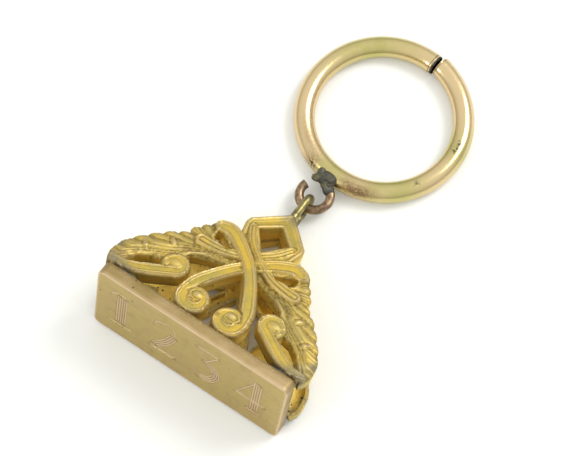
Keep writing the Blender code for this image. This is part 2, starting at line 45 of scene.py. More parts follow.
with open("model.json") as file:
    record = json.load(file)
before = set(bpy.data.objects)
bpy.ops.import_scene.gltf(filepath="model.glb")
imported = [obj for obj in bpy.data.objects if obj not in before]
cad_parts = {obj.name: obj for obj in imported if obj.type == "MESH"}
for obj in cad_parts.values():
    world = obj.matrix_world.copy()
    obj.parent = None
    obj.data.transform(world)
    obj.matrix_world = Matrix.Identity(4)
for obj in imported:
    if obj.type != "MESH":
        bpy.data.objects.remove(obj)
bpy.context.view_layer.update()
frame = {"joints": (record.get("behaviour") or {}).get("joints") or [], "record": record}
MM = 0.001

# The seal's own frame, from the stamping face: X along the plate, Y towards its back,
# Z from the face up to the eye.
FACE = frame["record"]["mounts"][0]
HINGE = Vector(frame["joints"][0]["pos_m"])
SEAL_UP = -Vector(FACE["axis"]).normalized()
SEAL_ACROSS = Vector((1, 0, 0))
SEAL_BACK = SEAL_UP.cross(SEAL_ACROSS)
SEAL = Matrix.Translation(FACE["pos_m"]) @ Matrix(
    (SEAL_ACROSS, SEAL_BACK, SEAL_UP)
).transposed().to_4x4()

# The ornament's drawing in millimetres, on a grid that is stretched to the shell's size:
# (across from the middle, up from the plate).
DRAWN_HALF_SPAN = 13.9
DRAWN_HEIGHT = 19.6
STRAP_ROUTE = [
    (-5.55, 12.95), (-4.35, 13.15), (-2.8, 12.35), (-1.4, 11.3), (0.0, 10.05),
    (1.25, 8.4), (2.45, 6.4), (3.45, 4.4), (3.8, 2.6),
]
STRAP_HALF_WIDTHS = [0.8, 0.9, 0.85, 0.8, 0.78, 0.8, 0.85, 0.9, 0.9]
RIB_ROUTE = [
    (-2.75, 15.3), (-1.95, 13.9), (-1.0, 12.85), (0.25, 11.85), (1.6, 10.95),
    (3.1, 10.25), (4.8, 9.9), (6.4, 9.8),
]
RIB_HALF_WIDTHS = [0.5, 0.55, 0.5, 0.45, 0.5, 0.6, 0.7, 0.75]
SCROLL_ROUTE = [(13.0, 1.15), (11.6, 1.0), (10.2, 1.4), (8.9, 2.1), (7.6, 2.95), (6.3, 3.8)]
SCROLL_HALF_WIDTHS = [0.35, 0.6, 0.75, 0.8, 0.8, 0.75]
VOLUTE_CENTRE = (2.5, 2.12)
SPIRAL_RADII = [1.26, 1.3, 1.36, 1.34, 1.2]
SPIRAL_HALF_WIDTHS = [0.88, 0.8, 0.64, 0.44, 0.1]
VOLUTE_BOSS = (2.3, 2.85)
BOSS_STRETCH = 1.16
CURL_CENTRE = (6.6, 4.75)
CURL_BOSS = (6.85, 4.95)
KITE_HALF = [
    (0.0, 20.1), (3.75, 16.4), (3.9, 15.6), (3.4, 13.6), (1.6, 11.4), (0.0, 10.4),
]
KITE_HOLE_HALF = [(0.0, 17.45), (2.05, 15.6), (0.0, 12.85)]
LEAF_INNER_EDGE = [
    (1.0, 12.6), (0.2, 9.9), (2.4, 8.85), (4.3, 8.15), (6.15, 7.2), (6.3, 6.0),
    (8.2, 4.6), (9.6, 4.3), (10.8, 3.3), (11.5, 2.0), (12.1, 1.2),
]
LEAF_NOTCHES = [
    (13.1, 0.45), (13.5, 3.2), (12.7, 4.9), (11.6, 6.4), (10.4, 7.8), (9.1, 9.1),
    (8.0, 10.0), (7.5, 11.5), (6.85, 12.5), (3.7, 13.75),
]
LOBE_BULGES = [0.34, 0.2, 0.22, 0.26, 0.3, 0.25, 0.45, 0.25, 1.05]
LOBE_STEPS = 8
VEIN_ROOT = (2.6, 10.2)
LOBE_FOLD = 0.19
LOBE_REACH = 5.0
BARB_PLACES = (0.24, 0.5, 0.76)
LEAF_SPINE = [(2.0, 10.6), (4.2, 9.2), (6.5, 7.9), (8.8, 6.6), (10.8, 5.0), (12.3, 2.9)]
LEAF_BEADS = [(5.9, 9.9), (8.8, 7.5), (11.0, 5.0)]
FAN_RIDGES = [
    [(0.5, 12.0), (2.2, 13.3), (3.6, 14.6)],
    [(0.9, 11.7), (2.8, 12.9), (4.4, 13.9)],
    [(1.4, 11.5), (3.4, 12.5), (5.2, 13.3)],
]
EYELET = [(3.4, 10.45), (4.6, 10.5), (5.55, 11.2), (5.55, 12.2), (4.9, 12.2), (2.75, 10.8)]
SOLDER_STAINS = [(12.6, 0.9, 1.7), (10.6, 0.3, 1.2), (13.3, 3.4, 0.7), (0.6, 19.4, 1.0)]

# Engraved numerals: (place along the plate, strokes).  A stroke is its points and how
# many parallel cuts it has.
ENGRAVING = [
    (-9.3, [([(0.0, -2.6), (0.0, 2.5)], 5), ([(-1.4, 2.3), (-0.6, 2.9), (0.6, 2.8)], 1),
            ([(-1.5, -2.9), (1.4, -2.8)], 1)]),
    (-3.4, [([(-1.3, 1.5), (-1.1, 2.4), (0.0, 2.9), (1.1, 2.4), (1.3, 1.4)], 1),
            ([(1.1, 1.3), (0.4, -0.3), (-1.0, -2.2)], 4), ([(-1.5, -2.7), (1.5, -2.6)], 2)]),
    (2.4, [([(-1.3, 2.8), (1.3, 2.8)], 2), ([(1.2, 2.6), (-0.1, 0.7)], 1),
           ([(-0.1, 0.6), (1.0, 0.1), (1.3, -1.0), (0.7, -2.2), (-0.5, -2.7)], 4),
           ([(-0.5, -2.7), (-1.4, -2.1)], 1)]),
    (8.6, [([(0.6, -2.8), (0.6, 2.7)], 4), ([(0.3, 2.8), (-1.7, -0.9)], 1),
           ([(-1.8, -1.0), (1.7, -0.9)], 2), ([(-0.3, -2.9), (1.4, -2.9)], 1)]),
]
NUMERAL_SCALE = (1.1, 1.18)
CUT_SPACING = 0.3
CUT_HALF_WIDTH = 0.11
CUT_DEPTH = 0.13

# The photograph's view: angles of the line of sight and where it meets the table.
VIEW_AZIMUTH = math.radians(31.54)
VIEW_ELEVATION = math.radians(68.51)
VIEW_ROLL = math.radians(2.53)
VIEW_TARGET = Vector((-0.78, -3.44, 0.0)) * MM
VIEW_DISTANCE = 262.8 * MM
VIEW_LENS = 139.1


class FobSealSizes(bpy.types.PropertyGroup):
    plate_length: FloatProperty(
        name="Plate length", description="Length of the stamp plate",
        default=0.0257, unit="LENGTH",
    )
    plate_width: FloatProperty(
        name="Plate width", description="Width of the stamping face",
        default=0.0118, unit="LENGTH",
    )
    plate_thickness: FloatProperty(
        name="Plate thickness", description="Thickness of the stamp plate",
        default=0.00175, unit="LENGTH",
    )
    shell_height: FloatProperty(
        name="Shell height", description="Height of a shell along its sheet",
        default=0.02, unit="LENGTH",
    )
    shell_inset: FloatProperty(
        name="Shell inset", description="How far a shell's foot stands in from the plate's edge",
        default=0.00063, unit="LENGTH",
    )
    leaf_overhang: FloatProperty(
        name="Leaf overhang", description="How far a leaf reaches past the plate's end",
        default=0.00105, unit="LENGTH",
    )
    top_thickness: FloatProperty(
        name="Top thickness", description="Thickness across both shells at the top",
        default=0.0033, unit="LENGTH",
    )
    rim_depth: FloatProperty(
        name="Rim depth", description="How far a shell's rims turn back",
        default=0.0015, unit="LENGTH",
    )
    wall: FloatProperty(
        name="Wall", description="Thickness of the shells' metal",
        default=0.00036, unit="LENGTH",
    )
    eye_wire: FloatProperty(
        name="Eye wire", description="Radius of the eye's wire",
        default=0.0005, unit="LENGTH",
    )
    link_wire: FloatProperty(
        name="Link wire", description="Radius of the link's wire",
        default=0.00056, unit="LENGTH",
    )
    link_radius: FloatProperty(
        name="Link radius", description="Radius of the link at the middle of its wire",
        default=0.00185, unit="LENGTH",
    )
    ring_radius: FloatProperty(
        name="Ring radius", description="Radius of the split ring at the middle of its tube",
        default=0.00968, unit="LENGTH",
    )
    tube_radius: FloatProperty(
        name="Tube radius", description="Radius of the split ring's tube",
        default=0.0013, unit="LENGTH",
    )


def colour(label, words, value):
    return FloatVectorProperty(
        name=label, description=words, subtype="COLOR", size=3, min=0.0, max=1.0, default=value
    )


class FobSealColours(bpy.types.PropertyGroup):
    gilt: colour("Gilt", "The shells' matt gilding", (0.65, 0.455, 0.075))
    # Painted light: the walls and hollow back take this brighter, more orange gold, which stands in for
    # light reflected onto them.
    wall_painted_light: colour("Deep gilt", "Gilding in the walls and hollows", (0.95, 0.72, 0.18))
    gilt_worn: colour("Worn gilt", "Bare metal on the worn rims", (0.57, 0.44, 0.22))
    gilt_dull: colour("Dull gilt", "Greenish film in the channels", (0.47, 0.375, 0.10))
    # Painted shade in the creases and beside the raised lines; also real grime on the gilding and at the
    # plate's back edge.
    shade_and_grime: colour("Grooves", "Brown tarnish beside the raised lines", (0.22, 0.15, 0.05))
    plate: colour("Plate", "The stamp plate's rolled gold", (0.50, 0.385, 0.132))
    plate_rosy: colour("Rosy plate", "Copper showing through the plate", (0.49, 0.36, 0.145))
    cut: colour("Cuts and edges", "Bare rosy metal in the cuts and along worn edges",
                (0.68, 0.51, 0.33))
    plate_side: colour("Plate side", "Brown tarnish on the plate's edge", (0.34, 0.25, 0.10))
    ring: colour("Ring", "The split ring's polished gold", (0.71, 0.545, 0.305))
    ring_green: colour("Greenish ring", "Paler areas of the ring", (0.50, 0.455, 0.165))
    rust: colour("Ring tarnish", "Brown tarnish beside the lug", (0.25, 0.16, 0.08))
    copper: colour("Copper", "The link's worn copper", (0.36, 0.25, 0.15))
    copper_dark: colour("Dark copper", "Tarnish on the link", (0.155, 0.105, 0.062))
    brass_dark: colour("Dark brass", "Tarnish on the eye and solder", (0.19, 0.165, 0.085))
    brass: colour("Brass", "The eye's worn brass", (0.40, 0.335, 0.12))
    solder: colour("Solder", "Dull grey solder", (0.115, 0.113, 0.10))
    stain: colour("Solder stain", "Grey film where solder has run", (0.255, 0.225, 0.15))
    dirt: colour("Dirt", "Black tarnish in pits and joints", (0.035, 0.03, 0.022))
    table: colour("Table", "The table under the seal", (0.87, 0.88, 0.85))


# Flat drawing, in numpy.


def smooth_route(points, steps):
    """Points at even steps along the smooth curve through the given points."""
    points = np.asarray(points, float)
    ends = np.vstack([2 * points[0] - points[1], points, 2 * points[-1] - points[-2]])
    along = np.linspace(0, len(points) - 1, steps + 1)
    index = np.minimum(along.astype(int), len(points) - 2)
    t = (along - index)[:, None]
    before, start, end, after = (ends[index + k] for k in range(4))
    return (
        start + (end - before) * t / 2
        + (before - start * 2.5 + end * 2 - after / 2) * t**2
        + (start * 1.5 - before / 2 - end * 1.5 + after / 2) * t**3
    )


def arc_route(centre, radii, first, last, steps):
    """Points round a centre, from one angle to another, as the radius goes through radii."""
    share = np.linspace(0, 1, steps + 1)
    radius = np.interp(share, np.linspace(0, 1, len(radii)), radii)
    turn = np.radians(first + (last - first) * share)
    return np.stack(
        [centre[0] + radius * np.cos(turn), centre[1] + radius * np.sin(turn)], 1
    )


def route_field(points, route):
    """Each point's distance to the route, its place along it, and its side (1 is left)."""
    nearest = np.full(len(points), 1e9)
    along = np.zeros(len(points))
    side = np.ones(len(points))
    for index, (start, end) in enumerate(zip(route[:-1], route[1:])):
        run = end - start
        t = np.clip(((points - start) @ run) / max(run @ run, 1e-12), 0, 1)
        off = points - start - t[:, None] * run
        distance = np.hypot(off[:, 0], off[:, 1])
        closer = distance < nearest
        nearest[closer] = distance[closer]
        along[closer] = index + t[closer]
        side[closer] = np.where(run[0] * off[closer, 1] - run[1] * off[closer, 0] < 0, -1, 1)
    return nearest, along, side


def outline_distance(points, outline):
    """Signed distance to a closed outline, negative inside it."""
    closed = np.vstack([outline, outline[:1]])
    distance, _, _ = route_field(points, closed)
    inside = np.zeros(len(points), bool)
    for (ax, ay), (bx, by) in zip(closed[:-1], closed[1:]):
        if ay == by:
            continue
        spans = (ay > points[:, 1]) != (by > points[:, 1])
        inside ^= spans & (points[:, 0] < (bx - ax) * (points[:, 1] - ay) / (by - ay) + ax)
    return np.where(inside, -distance, distance)


def bump(value, centre, width):
    return np.exp(-(((value - centre) / width) ** 2))


def roll_off(depth, reach, drop):
    """How far a surface has rolled down at this depth inside its edge."""
    return drop * (1 - np.clip(depth / reach, 0, 1)) ** 2


def leaf_outline():
    """The right leaf's outline, anticlockwise from its lower tip."""
    outline = []
    for start, end, bulge in zip(LEAF_NOTCHES, LEAF_NOTCHES[1:], LOBE_BULGES):
        start, end = np.array(start), np.array(end)
        run = end - start
        half = np.hypot(*run) / 2
        outward = np.array([run[1], -run[0]]) / (2 * half)
        for step in range(LOBE_STEPS):
            across = 2 * step / LOBE_STEPS - 1
            outline.append((start + end) / 2 + run / 2 * across + outward * bulge * (1 - across**2))
    outline.append(np.array(LEAF_NOTCHES[-1]))
    return np.vstack([outline, LEAF_INNER_EDGE])


def whole_outline(half):
    left = [(-across, up) for across, up in half[-2:0:-1]]
    return np.array(half + left, float)


class Relief:
    """Height, wear, and the hollows' film and painted shade, of overlapping forms on a sheet, at given
    points.
    """

    def __init__(self, count):
        self.distance = np.full(count, 1e9)
        self.height = np.full(count, -1e9)
        self.crest = np.zeros(count)
        self.hollow = np.zeros(count)

    def lay(self, distance, height, crest, hollow=0.0):
        """Adds a form where it is the highest so far."""
        top = (distance < 0.05) & (height > self.height)
        self.height[top] = height[top]
        self.crest[top] = np.clip(crest, 0, 1)[top]
        self.hollow[top] = np.clip(hollow + 0 * distance, 0, 1)[top]
        self.distance = np.minimum(self.distance, distance)

    def pierce(self, distance):
        self.distance = np.maximum(self.distance, -distance)


def lay_band(relief, points, route, half_widths, lift, rims, dip=0.0):
    """A strap with raised lines along it, each at a place across from -1 to 1."""
    distance, along, side = route_field(points, route)
    width = np.interp(along, np.linspace(0, len(route) - 1, len(half_widths)), half_widths)
    if isinstance(lift, list):
        lift = np.interp(along, np.linspace(0, len(route) - 1, len(lift)), lift)
    across = distance * side / width
    lines = sum(height * bump(across, place, spread) for place, height, spread in rims)
    height = lift - dip - 0.07 + 0.14 * lines - roll_off(width - distance, 0.2, 0.14)
    channel = np.clip(1.0 - 1.6 * lines, 0, 1) * np.clip((1 - abs(across)) * 4, 0, 1)
    # The grooves beside the raised lines are cut a little and marked hollow, where the gilt paints shade.
    grooves = sum(
        bump(across, place - np.sign(place) * 1.9 * spread, 0.6 * spread)
        for place, _, spread in rims
    )
    relief.lay(distance - width, height - 0.03 * grooves, lines, 0.25 * channel + grooves)


STRAP_RIMS = [(0.86, 1.0, 0.13), (0.5, 0.7, 0.11), (-0.86, 1.0, 0.14)]
RIB_RIMS = [(0.8, 1.0, 0.2), (0.05, 0.8, 0.2), (-0.78, 0.9, 0.2)]
SCROLL_RIMS = [(0.86, 1.0, 0.14), (0.45, 0.55, 0.12), (-0.84, 1.0, 0.16)]


def lay_leaf(relief, points):
    distance = outline_distance(points, leaf_outline())
    depth = -distance
    # Lobes fan out from the vein root, with a fold between them and fine barbs on each.
    spokes = points - np.array(VEIN_ROOT)
    radius = np.hypot(spokes[:, 0], spokes[:, 1])
    bearing = np.arctan2(spokes[:, 1], spokes[:, 0]) + 0.05 * np.clip(depth, 0, 3)
    notches = np.array(LEAF_NOTCHES) - np.array(VEIN_ROOT)
    bearings = np.arctan2(notches[:, 1], notches[:, 0])
    lobe = np.clip(np.searchsorted(bearings, bearing) - 1, 0, len(bearings) - 2)
    sweep = (bearings[1:] - bearings[:-1])[lobe]
    share = np.clip((bearing - bearings[:-1][lobe]) / sweep, 0, 1)
    fade = np.clip(1 - depth / LOBE_REACH, 0, 1)
    arch = np.sqrt(np.clip(np.sin(np.pi * share), 0, 1))
    folds = (1 - arch) * fade
    height = -LOBE_FOLD * folds - roll_off(depth, 0.6, 0.22)
    crest = 0.5 * bump(arch, 0.75, 0.14) * fade
    hollow = np.clip(folds * 1.5, 0, 1)
    for place in BARB_PLACES:
        across = (share - place) * sweep * radius
        reach = np.clip(1.4 - depth / 2.6, 0, 1)
        height += (0.07 * bump(across, 0.19, 0.1) - 0.11 * bump(across, 0, 0.11)) * reach
        crest += 0.8 * bump(across, 0.19, 0.1) * reach
        hollow += 0.6 * bump(across, 0, 0.11) * reach
    spine, _, _ = route_field(points, smooth_route(LEAF_SPINE, 24))
    height += 0.26 * bump(spine, 0, 0.8)
    inner, _, _ = route_field(points, smooth_route(LEAF_INNER_EDGE[1:-2], 30))
    height += 0.1 * bump(inner, 0.22, 0.13)
    crest += 0.5 * bump(inner, 0.22, 0.15)
    for place in LEAF_BEADS:
        across, up = (points - np.array(place)).T
        away = np.hypot(0.85 * (across - up), 0.42 * (across + up) + 0.3 * (across - up) ** 2)
        height += 0.15 * np.sqrt(np.clip(1 - (away / 0.42) ** 2, 0, 1)) - 0.06 * bump(away, 0.54, 0.12)
        crest += 0.6 * np.clip(1.3 - away / 0.42, 0, 1)
    for ridge in FAN_RIDGES:
        fan, _, _ = route_field(points, smooth_route(ridge, 10))
        height += 0.16 * bump(fan, 0, 0.13)
        crest += 0.6 * bump(fan, 0, 0.13)
    rim = outline_distance(points, np.array(EYELET))
    height += 0.16 * bump(rim, 0.24, 0.16)
    crest += 0.6 * bump(rim, 0.24, 0.16)
    relief.lay(distance, height, crest, hollow)


def lay_kite(relief, points):
    outline = whole_outline(KITE_HALF)
    hole = whole_outline(KITE_HOLE_HALF)
    outer = -outline_distance(points, outline)
    inner = outline_distance(points, hole)
    lines = bump(outer, 0.3, 0.15) + bump(inner, 0.26, 0.15) + 0.4 * bump(outer, 0.68, 0.1)
    height = 0.15 + 0.16 * lines - roll_off(outer, 0.14, 0.08) - roll_off(inner, 0.12, 0.08)
    relief.lay(-outer, height, 0.85 * lines, 0.7 - lines)


def lay_volute(relief, points, centre, radius, boss, lift, boss_radius):
    away = np.hypot(points[:, 0] - centre[0], points[:, 1] - centre[1])
    apart = np.hypot((points[:, 0] - boss[0]) / BOSS_STRETCH, (points[:, 1] - boss[1]) * BOSS_STRETCH)
    lines = 0.8 * bump(apart, 0.8, 0.1) + 0.6 * bump(apart, 1.12, 0.1)
    height = lift - 0.16 + 0.12 * lines - roll_off(radius - away, 0.2, 0.14)
    relief.lay(away - radius, height, 0.8 * lines, 0.8 - lines)
    dome = np.sqrt(np.clip(1 - (apart / (boss_radius + 0.01)) ** 2, 0, 1))
    relief.lay(apart - boss_radius, lift - 0.12 + 0.22 * dome, 0.1 + 0.5 * dome)


def shell_relief(points):
    """The whole shell's relief at points of the drawing."""
    relief = Relief(len(points))
    folded = np.stack([abs(points[:, 0]), points[:, 1]], 1)
    mirrored = points * (-1, 1)
    crossing = np.hypot(points[:, 0], points[:, 1] - 10.6)
    dip = 0.24 * bump(crossing, 0, 2.2)
    lay_leaf(relief, folded)
    lay_kite(relief, points)
    lay_volute(relief, folded, VOLUTE_CENTRE, 2.05, VOLUTE_BOSS, 0.36, 0.55)
    lay_volute(relief, folded, CURL_CENTRE, 1.72, CURL_BOSS, 0.3, 0.66)

    scroll = smooth_route(SCROLL_ROUTE, 24)
    curl = arc_route(CURL_CENTRE, [1.0, 1.05, 1.1, 1.15], 235, -20, 22)
    widths = np.interp(np.linspace(0, 1, 24), np.linspace(0, 1, 6), SCROLL_HALF_WIDTHS)
    curl_widths = np.interp(np.linspace(0, 1, 22), [0, 1], [0.75, 0.32])
    lay_band(
        relief, folded, np.vstack([scroll, curl]), np.concatenate([widths, curl_widths]),
        0.3, SCROLL_RIMS,
    )

    strap = smooth_route(STRAP_ROUTE, 48)
    spiral = arc_route(VOLUTE_CENTRE, SPIRAL_RADII, 14, -330, 36)
    whole = np.vstack([strap, spiral[1:]])
    widths = np.interp(np.linspace(0, 1, 49), np.linspace(0, 1, 9), STRAP_HALF_WIDTHS)
    spiral_widths = np.interp(np.linspace(0, 1, 36), np.linspace(0, 1, 5), SPIRAL_HALF_WIDTHS)
    widths = np.concatenate([widths, spiral_widths])
    lifts = [0.46, 0.46, 0.46, 0.45, 0.44, 0.42, 0.38, 0.22]
    rib = smooth_route(RIB_ROUTE, 36)
    lay_band(relief, mirrored, whole, widths, lifts, STRAP_RIMS, dip)
    lay_band(relief, mirrored, rib, RIB_HALF_WIDTHS, 0.32, RIB_RIMS, dip)
    lay_band(relief, points, rib, RIB_HALF_WIDTHS, 0.36, RIB_RIMS)
    lay_band(relief, points, whole, widths, lifts, STRAP_RIMS)

    relief.pierce(outline_distance(points, whole_outline(KITE_HOLE_HALF)))
    relief.pierce(outline_distance(folded, np.array(EYELET)))
    return relief


# Sheets cut from a fine grid.


class Raster:
    """Values on a regular grid, read between its points."""

    def __init__(self, low, high, spacing):
        self.low = np.array(low, float)
        self.spacing = spacing
        self.counts = np.ceil((np.array(high) - low) / spacing).astype(int) + 1
        across = self.low[0] + spacing * np.arange(self.counts[0])
        up = self.low[1] + spacing * np.arange(self.counts[1])
        self.points = np.stack(np.meshgrid(across, up), -1).reshape(-1, 2)

    def shaped(self, values):
        return values.reshape(self.counts[1], self.counts[0])

    def fill(self, values):
        self.values = self.shaped(values)
        self.slopes = np.gradient(self.values, self.spacing)

    def read(self, values, points):
        place = (points - self.low) / self.spacing
        place = np.clip(place, 0, self.counts - 1.001)
        cell = place.astype(int)
        x, y = (place - cell).T
        i, j = cell.T
        return (
            values[j, i] * (1 - x) * (1 - y) + values[j, i + 1] * x * (1 - y)
            + values[j + 1, i] * (1 - x) * y + values[j + 1, i + 1] * x * y
        )

    def at(self, points):
        return self.read(self.values, points)

    def outward(self, points):
        slope = np.stack([self.read(self.slopes[1], points), self.read(self.slopes[0], points)], 1)
        return slope / np.maximum(np.hypot(slope[:, 0], slope[:, 1]), 1e-6)[:, None]


def trimmed_grid(raster):
    """A grid of faces where the raster is negative, its border pulled onto the zero line."""
    bm = bmesh.new()
    nx, ny = raster.counts - 1
    bmesh.ops.create_grid(bm, x_segments=int(nx), y_segments=int(ny), size=0.5)
    middle = raster.low + raster.spacing * (raster.counts - 1) / 2
    extent = raster.spacing * (raster.counts - 1)
    for vert in bm.verts:
        vert.co.x = middle[0] + vert.co.x * extent[0]
        vert.co.y = middle[1] + vert.co.y * extent[1]
    centres = np.array([face.calc_center_median()[:2] for face in bm.faces])
    outside = raster.at(centres) >= 0
    doomed = [face for face, gone in zip(bm.faces, outside) if gone]
    bmesh.ops.delete(bm, geom=doomed, context="FACES")
    while True:
        pinched = [
            vert for vert in bm.verts
            if sum(edge.is_boundary for edge in vert.link_edges) > 2
        ]
        if not pinched:
            break
        doomed = list({vert.link_faces[0] for vert in pinched})
        bmesh.ops.delete(bm, geom=doomed, context="FACES")
    border = [vert for vert in bm.verts if vert.is_boundary]
    places = np.array([vert.co[:2] for vert in border])
    for _ in range(3):
        step = np.clip(raster.at(places), -raster.spacing, raster.spacing)
        places = places - raster.outward(places) * step[:, None]
    for vert, place in zip(border, places):
        vert.co.x, vert.co.y = place
    return bm


def set_layer(bm, name, values, source):
    layer = bm.verts.layers.float.get(name) or bm.verts.layers.float.new(name)
    for vert in bm.verts:
        vert[layer] = float(values[vert[source]])


def blurred(values, radius):
    """A box blur, run twice, that leaves the border as it is."""
    result = values.copy()
    size = 2 * radius + 1
    for _ in range(2):
        for axis in (0, 1):
            padded = np.concatenate([np.take(result, [0] * radius, axis), result,
                                     np.take(result, [-1] * radius, axis)], axis)
            total = np.cumsum(padded, axis)
            zero = np.zeros_like(np.take(total, [0], axis))
            total = np.concatenate([zero, total], axis)
            count = result.shape[axis]
            upper = np.take(total, np.arange(size, size + count), axis)
            lower = np.take(total, np.arange(0, count), axis)
            result = (upper - lower) / size
    return result


def shell_tilt(sizes):
    foot = sizes.plate_width / 2 - sizes.shell_inset
    return foot, math.asin((foot - sizes.top_thickness / 2) / sizes.shell_height)


def sheet_place(sizes):
    """The front sheet's place in the seal's frame."""
    foot, tilt = shell_tilt(sizes)
    turn = Matrix.Rotation(math.pi / 2 - tilt, 4, "X")
    return Matrix.Translation((0, -foot, sizes.plate_thickness)) @ turn


SHELL_SPACING = 0.11
RIDGE_HEIGHT = 0.09
CREASE_DEPTH = 0.055
SHELL_LOW = (-14.3, -0.3)
SHELL_HIGH = (14.3, 20.3)
RIM_ROWS = [(0.07, 0.05), (0.2, 0.07), (0.45, 0.06), (0.75, 0.05), (1.0, 0.02)]
LIP_ROWS = (4, 5)


def shell_bmesh(sizes):
    """One shell in the seal's frame: relief face, turned rims and hollow back."""
    foot, tilt = shell_tilt(sizes)
    raster = Raster(SHELL_LOW, SHELL_HIGH, SHELL_SPACING)
    drawn = shell_relief(raster.points)
    raster.fill(drawn.distance)
    bm = trimmed_grid(raster)
    source = bm.verts.layers.int.new("source")
    for index, vert in enumerate(bm.verts):
        vert[source] = index
    places = np.array([vert.co[:2] for vert in bm.verts])
    relief = shell_relief(places)
    height = np.where(relief.height < -5, 0, relief.height)
    wall = sizes.wall / MM
    rim_depth = sizes.rim_depth / MM

    # The hollow side: pushed in from the border, and lower by the metal's thickness.
    inner = places.copy()
    depth = np.clip(-raster.at(places), 0, None)
    push = wall * np.clip(1 - depth / 1.2, 0, 1)
    for _ in range(4):
        inner = inner - raster.outward(inner) * (push / 4)[:, None]
    levels = raster.shaped(np.clip(drawn.height, -0.5, 0.6))
    soft = raster.read(blurred(levels, 8), inner)
    inner_height = np.minimum(soft - 0.1, height) - wall

    # Ridges stand above the blurred relief and are worn; creases lie below it and get painted shade.
    levels = np.clip(levels, -0.15, 0.6)
    proud = raster.read(levels - blurred(levels, 3), places)
    crest = np.maximum(relief.crest * 0.6, np.clip(proud / RIDGE_HEIGHT, 0, 1))
    hollow = np.maximum(relief.hollow, np.clip(-proud / CREASE_DEPTH, 0, 1))

    scale_across = (sizes.plate_length / 2 + sizes.leaf_overhang) / DRAWN_HALF_SPAN
    scale_up = sizes.shell_height / DRAWN_HEIGHT
    place = sheet_place(sizes)
    floor = sizes.plate_thickness + 0.04 * MM
    seam = -0.03 * MM
    kite = abs(outline_distance(places, whole_outline(KITE_HALF))) < 0.25
    kite |= abs(outline_distance(places, whole_outline(KITE_HOLE_HALF))) < 0.25
    to_seam = (foot - places[:, 1] * scale_up * math.sin(tilt)) / math.cos(tilt) / MM
    rim_low = -np.where(kite, to_seam, rim_depth)

    def set_place(vert, point, level):
        at = place @ Vector((point[0] * scale_across, point[1] * scale_up, level * MM))
        if at.z < floor:
            at += Vector((0, math.sin(tilt), math.cos(tilt))) * ((floor - at.z) / math.cos(tilt))
        at.y = min(at.y, seam)
        vert.co = at

    # The wall layer marks the rims and the hollow back: the gilt paints them brighter as painted light,
    # and specks them.
    wall_layer = bm.verts.layers.float.new("wall")
    lip_layer = bm.verts.layers.float.new("lip")
    faces = list(bm.faces)
    border = [edge for edge in bm.edges if edge.is_boundary]
    copied = bmesh.ops.duplicate(bm, geom=faces + list(bm.edges) + list(bm.verts))["geom"]
    copied_faces = [item for item in copied if isinstance(item, bmesh.types.BMFace)]
    bmesh.ops.reverse_faces(bm, faces=copied_faces)
    copied_verts = {item for item in copied if isinstance(item, bmesh.types.BMVert)}
    for vert in bm.verts:
        index = vert[source]
        if vert in copied_verts:
            set_place(vert, inner[index], inner_height[index])
            vert[wall_layer] = 1.0
        else:
            set_place(vert, places[index], height[index])

    outward = raster.outward(places)
    rows = []
    for share, offset in RIM_ROWS:
        rows.append((places + outward * offset, height + (rim_low - height) * share))
    rows.append((inner, rim_low))
    rows.append((inner, (rim_low + inner_height) / 2))
    rows.append((inner, inner_height))
    edges = border
    for row, (points, levels) in enumerate(rows):
        grown = bmesh.ops.extrude_edge_only(bm, edges=edges)["geom"]
        for item in grown:
            if isinstance(item, bmesh.types.BMVert):
                set_place(item, points[item[source]], levels[item[source]])
                item[wall_layer] = min(1.0, 0.35 + row * 0.3)
                item[lip_layer] = 1.0 if row in LIP_ROWS else 0.0
        edges = [
            item for item in grown if isinstance(item, bmesh.types.BMEdge) and item.is_boundary
        ]
    bmesh.ops.remove_doubles(bm, verts=bm.verts, dist=0.0005 * MM)
    bmesh.ops.recalc_face_normals(bm, faces=bm.faces)

    folded = np.stack([abs(places[:, 0]), places[:, 1]], 1)
    stain = np.zeros(len(places))
    for across, up, reach in SOLDER_STAINS:
        away = np.hypot(folded[:, 0] - across, folded[:, 1] - up)
        stain += np.clip(1.25 - away / reach, 0, 1)
    set_layer(bm, "crest", crest, source)
    set_layer(bm, "hollow", hollow, source)
    set_layer(bm, "stain", np.clip(stain, 0, 1), source)
    stain_layer = bm.verts.layers.float["stain"]
    for vert in bm.verts:
        vert[stain_layer] = max(vert[stain_layer], vert[lip_layer] * 0.75)
    return bm


# Objects.


def finish_object(bm, name, material, body, replaced, sharp=50.0):
    """Makes the mesh an object in its place, riding on a body and standing for its solids."""
    mesh = bpy.data.meshes.new(name)
    bm.to_mesh(mesh)
    bm.free()
    mesh.materials.append(material)
    mesh.shade_smooth()
    mesh.set_sharp_from_angle(angle=math.radians(sharp))
    obj = bpy.data.objects.new(name, mesh)
    bpy.context.scene.collection.objects.link(obj)
    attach(obj, body)
    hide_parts(*replaced)
    return obj


def roughen(bm, amount, scale, seed=0.0):
    """Moves every point along its normal by smooth noise."""
    bm.normal_update()
    shift = Vector((seed, seed * 0.7, -seed))
    moves = [
        (vert, vert.normal * amount * noise.noise(vert.co / scale + shift)) for vert in bm.verts
    ]
    for vert, move in moves:
        vert.co += move


